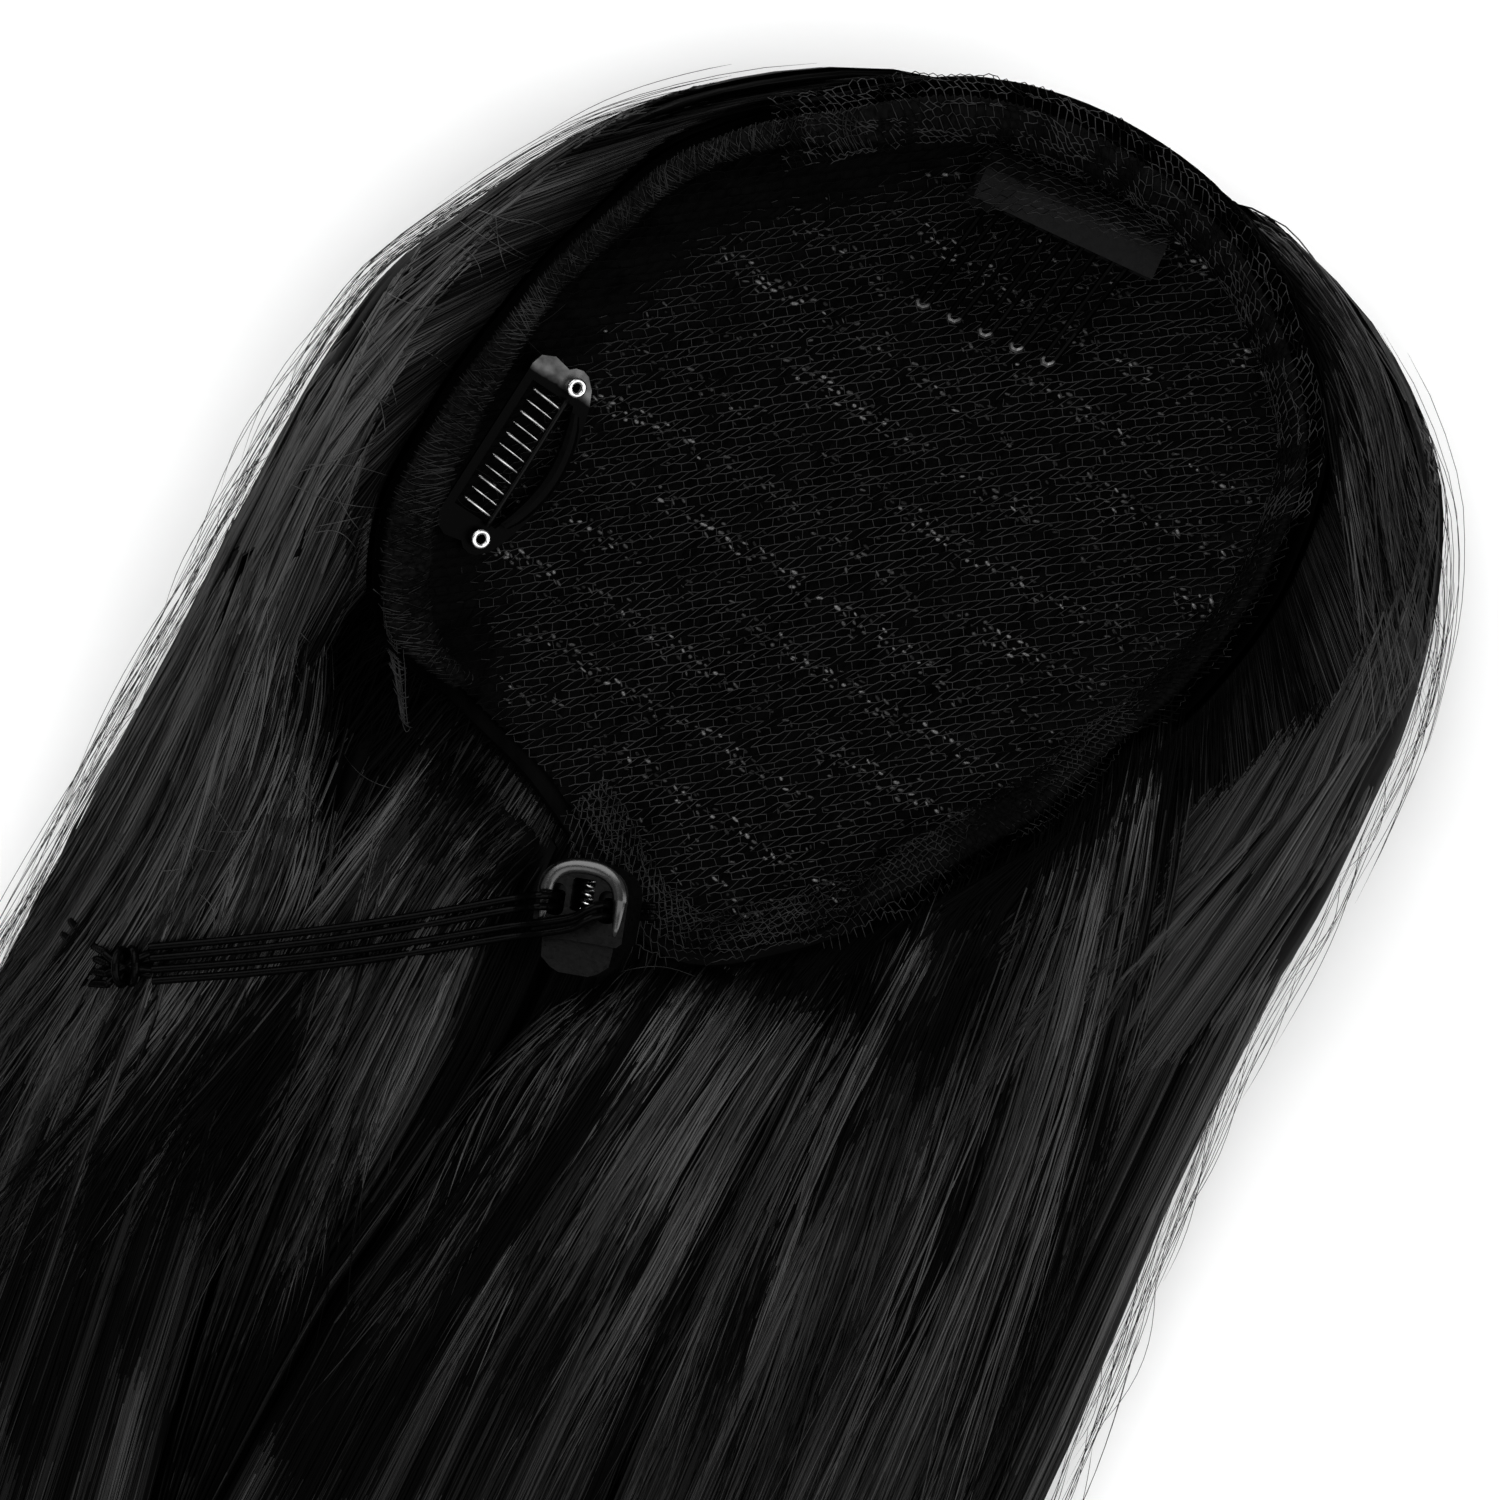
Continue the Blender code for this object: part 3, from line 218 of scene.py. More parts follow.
def span_right(y):
    inner = np.where(y > -52, rim_right(y),
                     np.maximum(at_y(PART_R, y), np.where(y > -76, rim_right(y), -99)) + GAP)
    return at_y(EDGE_R, y), inner


def span_centre(y):
    return (np.where(y > -75.6, rim_right(y), at_y(PART_D, y) + GAP), at_y(PART_R, y) - GAP)


def span_inner(y):
    left = at_y(PART_L, y) + GAP + 3.5 * smooth(-75, -58, y)
    right = at_y(PART_D, y) - GAP
    right = np.where(y > -68.5, np.minimum(right, rim_left(y)), right)
    return left, right


def side_height(s, crown, inner):
    outer = (1.0 - (1.0 - np.clip(s / 0.5, 0, 1)) ** 2.2) ** (1 / 2.2)
    top = EDGE_H + (crown - EDGE_H) * outer
    return top + (inner - crown) * smooth(0.45, 1.0, s)


def height_left(y, s):
    c = at_y(CROWN_L, y)
    beside, below = np.minimum(c, 34.0), c * 0.72
    return side_height(s, c, below + (beside - below) * smooth(-66, -30, y))


def height_right(y, s):
    c = at_y(CROWN_R, y)
    beside, below = np.minimum(c, 30.0), c * 0.8
    return side_height(s, c, below + (beside - below) * smooth(-80, -30, y))


def lock_height(s, crown, fa, fb):
    bulge = np.sin(np.pi * np.clip(s, 0.0, 1.0)) ** 0.6
    flank = fa + (fb - fa) * s
    return flank + (crown - flank) * bulge


def height_centre(y, s):
    c = at_y(CROWN_C, y)
    return lock_height(s, c, np.minimum(c, 9.0), 0.86 * c)


def height_inner(y, s):
    c = at_y(CROWN_I, y)
    return lock_height(s, c, 0.8 * c, 0.42 * c)


ZONES = {
    "left": (span_left, height_left), "right": (span_right, height_right),
    "centre": (span_centre, height_centre), "inner": (span_inner, height_inner),
}


def hair_top(x, y):
    for name in ("left", "inner", "centre", "right"):
        span, height = ZONES[name]
        if name == "inner" and y < -211 or name == "centre" and y > -54:
            continue
        a, b = (float(v) for v in span(np.float64(y)))
        if min(a, b) - 1.2 <= x <= max(a, b) + 1.2:
            s = min(1.0, max(0.0, (x - a) / (b - a)))
            return float(height(np.float64(y), s))
    return 0.0


# ------------------------------------------------------------------ materials
def principled(name, colour, rough, metal=0.0, spec=0.5, coat=0.0, sheen=0.0):
    m = bpy.data.materials.new(name)
    m.use_nodes = True
    b = m.node_tree.nodes["Principled BSDF"]
    b.inputs["Base Color"].default_value = (*colour, 1.0)
    b.inputs["Roughness"].default_value = rough
    b.inputs["Metallic"].default_value = metal
    b.inputs["Specular IOR Level"].default_value = spec
    b.inputs["Coat Weight"].default_value = coat
    b.inputs["Sheen Weight"].default_value = sheen
    b.inputs["Sheen Roughness"].default_value = 0.4
    return m


def node(m, kind, **values):
    n = m.node_tree.nodes.new(kind)
    for k, v in values.items():
        if k in n.inputs:
            n.inputs[k].default_value = v
        else:
            setattr(n, k, v)
    return n


def wire(m, a, out, b, inp):
    m.node_tree.links.new(a.outputs[out], b.inputs[inp])


def vary(m, scale, low, high, rough_low, rough_high, bump=0.0, stretch=(1, 1, 1), detail=4.0, dist=0.0004):
    """Colour, roughness and bump from stretched noise in the piece's own space."""
    b = m.node_tree.nodes["Principled BSDF"]
    tc = node(m, "ShaderNodeTexCoord")
    mp = node(m, "ShaderNodeMapping")
    mp.inputs["Scale"].default_value = stretch
    nz = node(m, "ShaderNodeTexNoise", Scale=scale, Detail=detail)
    wire(m, tc, "Object", mp, "Vector")
    wire(m, mp, "Vector", nz, "Vector")
    ramp = node(m, "ShaderNodeValToRGB")
    ramp.color_ramp.elements[0].position = 0.32
    ramp.color_ramp.elements[1].position = 0.68
    ramp.color_ramp.elements[0].color = (*low, 1)
    ramp.color_ramp.elements[1].color = (*high, 1)
    wire(m, nz, "Fac", ramp, "Fac")
    wire(m, ramp, "Color", b, "Base Color")
    rr = node(m, "ShaderNodeMapRange")
    rr.inputs["To Min"].default_value = rough_low
    rr.inputs["To Max"].default_value = rough_high
    rr.inputs["From Min"].default_value = 0.3
    rr.inputs["From Max"].default_value = 0.7
    wire(m, nz, "Fac", rr, "Value")
    wire(m, rr, "Result", b, "Roughness")
    if bump:
        bp = node(m, "ShaderNodeBump", Strength=bump, Distance=dist)
        wire(m, nz, "Fac", bp, "Height")
        wire(m, bp, "Normal", b, "Normal")
    return m


def hair_material(name, low, high, rough, spec):
    m = principled(name, (0.004, 0.004, 0.004), 0.4, spec=spec)
    return vary(m, 260.0, (low, low, low), (high, high * 0.99, high * 0.98), rough[0], rough[1],
                bump=0.35, stretch=(1.0, 0.03, 1.0), detail=3.0)


MAT = {}
# Lit and shaded copies of the one hair material: painted deep shade, painted shade, plain, painted light and painted
# highlight.
MAT["strand_deep"] = hair_material("hair_strand_deep", 0.0003, 0.001, (0.5, 0.7), 0.02)
MAT["strand_painted_shade"] = hair_material("hair_strand_dark", 0.0008, 0.0028, (0.4, 0.55), 0.07)
MAT["strand"] = hair_material("hair_strand", 0.0016, 0.006, (0.34, 0.46), 0.17)
MAT["strand_painted_light"] = hair_material("hair_strand_light", 0.003, 0.010, (0.32, 0.44), 0.29)
MAT["strand_painted_highlight"] = hair_material("hair_strand_bright", 0.005, 0.015, (0.30, 0.42), 0.44)
# The masses under the strands take the same painted deep shade as the darkest strand copy.
MAT["hair_base_painted_shade"] = hair_material("hair_base_painted_shade", 0.0003, 0.0012, (0.5, 0.7), 0.02)
STRAND_PAINTED_LEVELS = ["strand_deep", "strand_painted_shade", "strand", "strand_painted_light", "strand_painted_highlight"]
MAT["net"] = vary(principled("net_thread", (0.01, 0.01, 0.01), 0.6, spec=0.2), 160.0,
                  (0.005, 0.005, 0.005), (0.023, 0.023, 0.0235), 0.5, 0.75, bump=0.3)
MAT["net_shade"] = vary(principled("net_thread_shaded", (0.002, 0.002, 0.002), 0.7, spec=0.02), 700.0,
                        (0.0006, 0.0006, 0.0006), (0.003, 0.003, 0.003), 0.6, 0.8, bump=0.3)
MAT["casing_thread"] = vary(principled("casing_thread", (0.004, 0.004, 0.004), 0.6, spec=0.10), 160.0,
                            (0.0012, 0.0012, 0.0012), (0.019, 0.019, 0.019), 0.5, 0.75, bump=0.3)
MAT["bed"] = vary(principled("weft_hair", (0.001, 0.001, 0.001), 0.5, spec=0.01), 700.0,
                  (0.0002, 0.0002, 0.0002), (0.0012, 0.0012, 0.0012), 0.32, 0.5, bump=0.6,
                  stretch=(1.0, 0.12, 1.0))
# The weft loops' painted glints, in dim, mid and bright copies of the glossy hair.
for loop_key, lo_c, hi_c, loop_spec in (("loop_painted_glint_dim", 0.002, 0.010, 0.06), ("loop_painted_glint_mid", 0.006, 0.026, 0.20),
                                        ("loop_painted_glint_bright", 0.016, 0.075, 0.6)):
    MAT[loop_key] = vary(principled("weft_" + loop_key, (hi_c, hi_c, hi_c), 0.3, spec=loop_spec), 1500.0,
                         (lo_c, lo_c, lo_c), (hi_c, hi_c, hi_c), 0.22, 0.42, bump=0.3)
MAT["casing"] = vary(principled("casing_net", (0.003, 0.003, 0.003), 0.7, spec=0.02), 1400.0,
                     (0.0004, 0.0004, 0.0004), (0.0035, 0.0035, 0.0035), 0.6, 0.8, bump=0.5)
MAT["hem_dark"] = vary(principled("hem_net_under", (0.002, 0.002, 0.002), 0.7, spec=0.02), 900.0,
                       (0.0004, 0.0004, 0.0004), (0.0025, 0.0025, 0.0025), 0.6, 0.8, bump=0.5)
MAT["elastic"] = vary(principled("elastic_braid", (0.001, 0.001, 0.001), 0.3, spec=0.03), 1500.0,
                      (0.0002, 0.0002, 0.0002), (0.0008, 0.0008, 0.0008), 0.16, 0.24, bump=0.1)
MAT["clip_black"] = vary(principled("clip_lacquer", (0.002, 0.002, 0.002), 0.35, spec=0.06), 500.0,
                         (0.0005, 0.0005, 0.0005), (0.0015, 0.0015, 0.0015), 0.25, 0.4, bump=0.08)
MAT["steel"] = vary(principled("bright_steel", (0.62, 0.62, 0.62), 0.22, metal=1.0), 900.0,
                    (0.45, 0.45, 0.45), (0.72, 0.72, 0.72), 0.16, 0.34, bump=0.08)
MAT["rubber"] = vary(principled("grip_rubber", (0.001, 0.001, 0.001), 0.5, spec=0.02), 800.0,
                     (0.0003, 0.0003, 0.0003), (0.0008, 0.0008, 0.0008), 0.35, 0.55, bump=0.1)
MAT["tape"] = vary(principled("comb_tape", (0.012, 0.012, 0.012), 0.65, spec=0.06), 1200.0,
                   (0.002, 0.002, 0.0021), (0.005, 0.005, 0.0051), 0.55, 0.8, bump=0.35)
# One lock plastic in two copies: the rim's glossier, lighter copy gives a painted highlight, the body's and button's
# duller copy a painted shade on the flat face.
MAT["gloss"] = vary(principled("lock_rim_plastic", (0.002, 0.002, 0.002), 0.24, spec=0.75), 1300.0,
                    (0.0010, 0.0010, 0.0010), (0.0025, 0.0025, 0.0025), 0.20, 0.28, bump=0.05)
MAT["plastic"] = vary(principled("lock_plastic", (0.002, 0.002, 0.002), 0.34, spec=0.09), 1300.0,
                      (0.0006, 0.0006, 0.0006), (0.002, 0.002, 0.002), 0.26, 0.38, bump=0.12)
MAT["floor"] = vary(principled("floor", (0.93, 0.93, 0.93), 0.6, spec=0.2), 30.0,
                    (0.92, 0.92, 0.92), (0.94, 0.94, 0.94), 0.55, 0.65)


def wire_material():
    """Black lacquer, with a painted highlight at the tips of the comb."""
    m = principled("comb_wire", (0.03, 0.03, 0.03), 0.3, metal=0.9, spec=0.02)
    b = m.node_tree.nodes["Principled BSDF"]
    tc = node(m, "ShaderNodeTexCoord")
    sep = node(m, "ShaderNodeSeparateXYZ")
    wire(m, tc, "Object", sep, "Vector")
    r = node(m, "ShaderNodeMapRange")
    r.inputs["From Min"].default_value = 0.0348
    r.inputs["From Max"].default_value = 0.0332
    wire(m, sep, "Y", r, "Value")
    nz = node(m, "ShaderNodeTexNoise", Scale=900.0)
    wire(m, tc, "Object", nz, "Vector")
    mul = node(m, "ShaderNodeMath", operation="MULTIPLY")
    wire(m, r, "Result", mul, 0)
    wire(m, nz, "Fac", mul, 1)
    # painted highlight: the colour brightens to pale metal over the last part of each tooth towards its tip
    ramp = node(m, "ShaderNodeValToRGB")
    ramp.color_ramp.elements[0].position = 0.05
    ramp.color_ramp.elements[1].position = 0.6
    ramp.color_ramp.elements[0].color = (0.0015, 0.0015, 0.0015, 1)
    ramp.color_ramp.elements[1].color = (0.20, 0.20, 0.20, 1)
    wire(m, mul, "Value", ramp, "Fac")
    wire(m, ramp, "Color", b, "Base Color")
    bp = node(m, "ShaderNodeBump", Strength=0.1, Distance=0.0002)
    wire(m, nz, "Fac", bp, "Height")
    wire(m, bp, "Normal", b, "Normal")
    return m


MAT["wire"] = wire_material()


def clip_frame_material():
    """Black lacquer, with a painted highlight at the end that turns round the upper eyelet."""
    m = principled("clip_frame", (0.002, 0.002, 0.002), 0.4, metal=0.9, spec=0.02)
    b = m.node_tree.nodes["Principled BSDF"]
    tc = node(m, "ShaderNodeTexCoord")
    dot = node(m, "ShaderNodeVectorMath", operation="DOT_PRODUCT")
    dot.inputs[1].default_value = (0.1324, 0.9912, 0.0)
    wire(m, tc, "Object", dot, 0)
    middle = 0.1324 * -0.052375 + 0.9912 * -0.01474
    r = node(m, "ShaderNodeMapRange")
    r.inputs["From Min"].default_value = middle + 0.0122
    r.inputs["From Max"].default_value = middle + 0.0140
    wire(m, dot, "Value", r, "Value")
    nz = node(m, "ShaderNodeTexNoise", Scale=420.0)
    wire(m, tc, "Object", nz, "Vector")
    mul = node(m, "ShaderNodeMath", operation="MULTIPLY")
    wire(m, r, "Result", mul, 0)
    wire(m, nz, "Fac", mul, 1)
    # painted highlight: the colour brightens to pale steel over the band that turns round the upper eyelet
    ramp = node(m, "ShaderNodeValToRGB")
    ramp.color_ramp.elements[0].position = 0.1
    ramp.color_ramp.elements[1].position = 0.65
    ramp.color_ramp.elements[0].color = (0.0015, 0.0015, 0.0015, 1)
    ramp.color_ramp.elements[1].color = (0.09, 0.09, 0.09, 1)
    wire(m, mul, "Value", ramp, "Fac")
    wire(m, ramp, "Color", b, "Base Color")
    bp = node(m, "ShaderNodeBump", Strength=0.12, Distance=0.0003)
    wire(m, nz, "Fac", bp, "Height")
    wire(m, bp, "Normal", b, "Normal")
    return m


MAT["clip_frame"] = clip_frame_material()
MAT["tooth"] = vary(principled("clip_tooth", (0.5, 0.5, 0.5), 0.24, metal=1.0), 500.0,
                    (0.10, 0.10, 0.10), (0.60, 0.60, 0.60), 0.2, 0.32, bump=0.05)


# --------------------------------------------------------------- mesh helpers
def fast_mesh(name, pts_mm, quads, tris, mat, smooth_shade=True):
    """Mesh from arrays: pts (n,3) mm, quads (m,4), tris (k,3)."""
    mesh = bpy.data.meshes.new(name)
    pts = np.asarray(pts_mm, np.float64).reshape(-1, 3) * MM
    quads = np.asarray(quads, np.int32).reshape(-1, 4)
    tris = np.asarray(tris, np.int32).reshape(-1, 3)
    mesh.vertices.add(len(pts))
    mesh.vertices.foreach_set("co", pts.astype(np.float32).ravel())
    loops = np.concatenate([quads.ravel(), tris.ravel()])
    mesh.loops.add(len(loops))
    mesh.loops.foreach_set("vertex_index", loops)
    starts = np.concatenate([np.arange(len(quads)) * 4, len(quads) * 4 + np.arange(len(tris)) * 3])
    mesh.polygons.add(len(starts))
    mesh.polygons.foreach_set("loop_start", starts.astype(np.int32))
    mesh.update(calc_edges=True)
    mesh.validate()
    if smooth_shade:
        mesh.shade_smooth()
    obj = bpy.data.objects.new(name, mesh)
    mesh.materials.append(mat)
    bpy.context.scene.collection.objects.link(obj)
    return obj


def strands(name, paths, width, thick, tone, taper_in=0.04, taper_out=0.10):
    """Many ridged strands, open underneath: paths (n,m,3) in mm, width and thick (n,), tone (n,)."""
    paths = np.asarray(paths, float)
    n, m, _ = paths.shape
    t = np.gradient(paths, axis=1)
    t /= np.linalg.norm(t, axis=2, keepdims=True) + 1e-9
    up = np.zeros_like(t)
    up[..., 2] = 1.0
    side = np.cross(t, up)
    ln = np.linalg.norm(side, axis=2, keepdims=True)
    side = np.where(ln > 0.15, side / (ln + 1e-9), np.array([1.0, 0, 0]))
    nor = np.cross(side, t)
    u = np.linspace(0, 1, m)
    w = np.minimum(np.minimum(0.25 + u / max(taper_in, 1e-3), 1.0), np.minimum(0.12 + (1 - u) / max(taper_out, 1e-3), 1.0))
    ww = (np.asarray(width)[:, None] * w[None, :])[..., None]
    tt = (np.asarray(thick)[:, None] * w[None, :])[..., None]
    ring = np.stack([paths + side * ww * 0.5 - nor * tt * 0.35, paths + nor * tt * 0.65,
                     paths - side * ww * 0.5 - nor * tt * 0.35], axis=2)
    pts = ring.reshape(-1, 3)
    base = (np.arange(n)[:, None] * m + np.arange(m - 1)[None, :]) * 3
    quads = []
    for a, b in ((0, 1), (1, 2)):
        quads.append(np.stack([base + a, base + a + 3, base + b + 3, base + b], axis=-1).reshape(-1, 4))
    first = np.arange(n) * m * 3
    last = first + (m - 1) * 3
    tris = np.concatenate([np.stack([first, first + 1, first + 2], -1), np.stack([last + 2, last + 1, last], -1)])
    obj = fast_mesh(name, pts, np.concatenate(quads), tris, MAT[STRAND_PAINTED_LEVELS[0]])
    for key in STRAND_PAINTED_LEVELS[1:]:
        obj.data.materials.append(MAT[key])
    mid = 0.5 * (paths[:, 1:] + paths[:, :-1])
    # Each segment's tone plus the painted light and shade field picks its copy, from painted deep shade to painted
    # highlight.
    v = np.broadcast_to(np.asarray(tone, float), (n,))[:, None] + sheen(mid[..., 0], mid[..., 1])
    seg = np.digitize(v, (-0.75, -0.10, 0.55, 1.15))
    per = seg.ravel()
    index = np.concatenate([per, per, seg[:, 0], seg[:, -1]]).astype(np.int32)
    if len(index) == len(obj.data.polygons):
        obj.data.polygons.foreach_set("material_index", index)
    return obj


PAINTED_LIGHT_SPOTS = [
    # x, y, spread across, spread along, gain: painted highlight where the gain is positive, painted shade where it is
    # negative
    (-82, -45, 24, 62, 1.2), (-86, -10, 9, 30, 0.5), (-88, -100, 16, 40, 0.35), (-66, -84, 12, 20, 0.5), (-54, -52, 12, 12, -2.0),
    (-62, -60, 9, 15, -2.8), (-66, -165, 26, 40, -1.0), (-38, -64, 7, 11, -0.7), (-31, -108, 7, 28, 2.3),
    (-17, -84, 10, 13, -2.8), (-19, -108, 7, 20, -2.3), (-27, -160, 11, 34, -1.8), (-52, -128, 14, 22, -0.9),
    (17, -96, 15, 15, -0.75), (6, -140, 14, 24, -0.95), (-6, -158, 13, 26, -0.7), (71, -85, 12, 22, -0.35),
    (78, 30, 9, 14, -0.25), (26, -112, 14, 30, 0.35),
    (17, -69, 27, 8, -2.7), (42, -54, 10, 8, -1.0), (86, 15, 7, 40, 0.8), (74, 48, 12, 12, 0.9),
    (84, -38, 12, 30, 0.75), (66, -100, 20, 60, 0.15), (46, -92, 3, 40, -0.6), (80, -130, 4, 50, -0.4),
    (-40, 48, 12, 14, -0.4), (-90, -135, 14, 26, 0.4),
]


def sheen(x, y):
    """Painted light and shade on the hair at a place: drifting clumps of random tone, painted shade along the cap's
    rim, and soft spots of painted highlight and shade.
    """
    out = 0.30 * np.sin(0.37 * x + 1.1 * np.sin(0.028 * y) + 1.0) * np.sin(0.034 * y + 0.05 * x) + 0.1
    rho, ang = rho_of(x, y)
    d = (rho - 1.0) * rim_r(ang)
    side = np.mod(ang, 360)
    wide = 2.5 + 1.6 * smooth(104, 130, side) * smooth(245, 225, side) + 5.5 * (smooth(285, 320, side) + smooth(22, 5, side))
    # Painted shade in a band just outside the cap's rim, wider on the right.
    out = out - 2.1 * np.exp(-(np.maximum(d - 1.5, 0) / wide) ** 2) * smooth(-70, -55, y)
    for cx, cy, sx, sy, gain in PAINTED_LIGHT_SPOTS:
        out = out + gain * np.exp(-((x - cx) / sx) ** 2 - ((y - cy) / sy) ** 2)
    return out


def tones(r, clump, bunch=0.45):
    """A tone for each strand, gathered in clumps."""
    return bunch * clump + 0.26 * r.standard_normal(len(clump))


def threads(name, polylines, radius, mat, sides=3):
    """Thin threads from a list of polylines of one length each: dict m -> (n,m,3)."""
    pts_all, quads_all, tris_all, off = [], [], [], 0
    for paths in polylines:
        paths = np.asarray(paths, float)
        if paths.ndim != 3 or not len(paths):
            continue
        n, m, _ = paths.shape
        t = np.gradient(paths, axis=1)
        t /= np.linalg.norm(t, axis=2, keepdims=True) + 1e-9
        up = np.zeros_like(t)
        up[..., 2] = 1.0
        side = np.cross(t, up)
        ln = np.linalg.norm(side, axis=2, keepdims=True)
        side = np.where(ln > 0.1, side / (ln + 1e-9), np.array([1.0, 0, 0]))
        nor = np.cross(side, t)
        ring = []
        for k in range(sides):
            a = 2 * math.pi * k / sides + math.pi / 2
            ring.append(paths + radius * (math.cos(a) * side + math.sin(a) * nor))
        pts = np.stack(ring, axis=2).reshape(-1, 3)
        base = (np.arange(n)[:, None] * m + np.arange(m - 1)[None, :]) * sides + off
        for k in range(sides):
            b = (k + 1) % sides
            quads_all.append(np.stack([base + k, base + b, base + b + sides, base + k + sides], -1).reshape(-1, 4))
        first = np.arange(n) * m * sides + off
        last = first + (m - 1) * sides
        for k in range(1, sides - 1):
            tris_all.append(np.stack([first, first + k + 1, first + k], -1))
            tris_all.append(np.stack([last, last + k, last + k + 1], -1))
        pts_all.append(pts)
        off += len(pts)
    return fast_mesh(name, np.concatenate(pts_all), np.concatenate(quads_all), np.concatenate(tris_all), mat)


def grid_quads(rows, cols, closed_rows=False, closed_cols=False, off=0):
    r = np.arange(rows if closed_rows else rows - 1)
    c = np.arange(cols if closed_cols else cols - 1)
    R, C = np.meshgrid(r, c, indexing="ij")
    R1, C1 = (R + 1) % rows, (C + 1) % cols
    return np.stack([R * cols + C, R * cols + C1, R1 * cols + C1, R1 * cols + C], -1).reshape(-1, 4) + off


def fix_normals(obj, sharp=None):
    bm = bmesh.new()
    bm.from_mesh(obj.data)
    bmesh.ops.recalc_face_normals(bm, faces=bm.faces)
    bm.to_mesh(obj.data)
    bm.free()
    obj.data.shade_smooth()
    if sharp:
        obj.data.set_sharp_from_angle(angle=math.radians(sharp))
    return obj


def waves(seed, count, freq, drift):
    """Smooth ridges across a lock that wander slowly along it."""
    r = np.random.default_rng(seed)
    f = r.uniform(freq[0], freq[1], count)
    p = r.uniform(0, 6.28, count)
    d = r.uniform(-drift, drift, count)
    a = r.uniform(0.5, 1.0, count) / count * 2.2

    def value(s, y):
        out = 0.0
        for k in range(count):
            out = out + a[k] * np.sin(2 * np.pi * f[k] * s + p[k] + d[k] * y + 1.0 * np.sin(0.021 * y + p[k] * 3))
        return out + 0.45 * np.sin(0.085 * y + 5.0 * np.sin(2 * np.pi * s * 1.3 + p[0]) + p[1])
    return value


def place(obj, body, slot=None, *nodes):
    if nodes:
        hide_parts(*nodes)
    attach(obj, body)
    return obj


# -------------------------------------------------------------------- camera
def camera_and_light():
    scene = bpy.context.scene
    cam = bpy.data.cameras.new("camera")
    cam.lens = 121.7
    cam.sensor_width = 36.0
    cam.clip_start = 0.01
    ob = bpy.data.objects.new("camera", cam)
    scene.collection.objects.link(ob)
    target = Vector((-0.0019, -0.0409, 0.016))
    ob.location = target + Vector((0.0, 0.0, 0.8))
    up = Vector((-0.42, 0.907, 0.0)).normalized()
    back = Vector((0, 0, 1))
    right = up.cross(back)
    rot = Matrix((right, up, back)).transposed()
    ob.rotation_euler = rot.to_euler()
    scene.camera = ob

    world = bpy.data.worlds.new("studio")
    scene.world = world
    world.use_nodes = True
    world.node_tree.nodes["Background"].inputs["Color"].default_value = (1, 1, 1, 1)
    world.node_tree.nodes["Background"].inputs["Strength"].default_value = 0.30

    def soft(name, at, aim, size, power):
        d = bpy.data.lights.new(name, "AREA")
        d.shape = "RECTANGLE"
        d.size, d.size_y = size
        d.energy = power
        o = bpy.data.objects.new(name, d)
        scene.collection.objects.link(o)
        o.location = at
        o.rotation_euler = (Vector(aim) - Vector(at)).to_track_quat("-Z", "Y").to_euler()

    soft("key", (-0.75, 0.55, 0.95), (0, -0.08, 0), (1.5, 1.1), 17.0)
    soft("fill", (0.95, 0.1, 0.85), (0, -0.08, 0), (0.9, 1.7), 12.0)
    soft("head", (0.1, -0.75, 1.1), (0, -0.1, 0), (1.8, 0.7), 7.0)

    bpy.ops.mesh.primitive_plane_add(size=6.0, location=(0, 0, -0.0003))
    floor = bpy.context.object
    floor.name = "floor"
    floor.data.materials.append(MAT["floor"])
    scene.view_settings.view_transform = "Standard"
    scene.view_settings.look = "None"
    scene.view_settings.exposure = 0.0


# ------------------------------------------------------------------------ cap
ROW_DIR = math.radians(31.0)


CLIP_U = np.array([0.1324, 0.9912, 0.0])
CLIP_V = np.array([-0.88316, 0.11797, 0.45399])
CLIP_W = np.array([0.45, -0.0601, 0.891])
CLIP_O = np.array([-52.375, -14.74, 21.483]) - 1.5 * CLIP_W


def clip_points(rows):
    rows = np.asarray(rows, float)
    return CLIP_O + rows[..., :1] * CLIP_U + rows[..., 1:2] * CLIP_V + rows[..., 2:3] * CLIP_W


def build_clip():
    """Toothed bar, and the two rolled ring eyelets."""
    # bar on the hinge line, slightly bowed
    t = np.linspace(-1, 1, 21)
    bar = clip_points(np.stack([t * 11.8, 0.15 + 0 * t, 1.5 + 0.25 * (1 - t * t)], -1))
    obj = threads("clip_bar_strip", [bar[None]], 0.48, MAT["clip_black"], 8)
    place(obj, "clip_bar", "clip_steel", "clip_comb")
    wide, slim = [], []
    for i in range(11):
        u = -10.0 + 2.0 * i
        q = np.linspace(0, 1, 9)
        v = 0.3 + 5.6 * q
        w = 1.55 + 0.55 * np.sin(q * np.pi) - 0.25 * q
        line = clip_points(np.stack([u - 0.25 + 0.5 * q, v, w], -1))
        (wide if i % 2 == 0 else slim).append(line)
    teeth = threads("clip_teeth", [np.array(wide)], 0.27, MAT["tooth"], 6)
    place(teeth, "clip_bar", "bright_steel")
    thin = threads("clip_teeth_slim", [np.array(slim)], 0.17, MAT["tooth"], 6)
    place(thin, "clip_bar", "bright_steel")
    for name, sgn in (("clip_eyelet_upper", 1), ("clip_eyelet_lower", -1)):
        prof = []
        for k in range(10):
            a = 2 * math.pi * k / 10
            prof.append((1.18 + 0.46 * math.cos(a), 1.95 + 0.40 * math.sin(a)))
        n = 28
        pts = []
        for i in range(n):
            b = 2 * math.pi * i / n
            pts.append([(sgn * 14.0 + rr * math.cos(b), rr * math.sin(b), ww) for rr, ww in prof])
        pts = clip_points(np.array(pts))
        ring = fast_mesh(name.replace("clip_", "clip_ring_"), pts.reshape(-1, 3),
                         grid_quads(n, 10, closed_rows=True, closed_cols=True), np.zeros((0, 3), int), MAT["steel"])
        fix_normals(ring)
        place(ring, ROOT, "bright_steel", name)


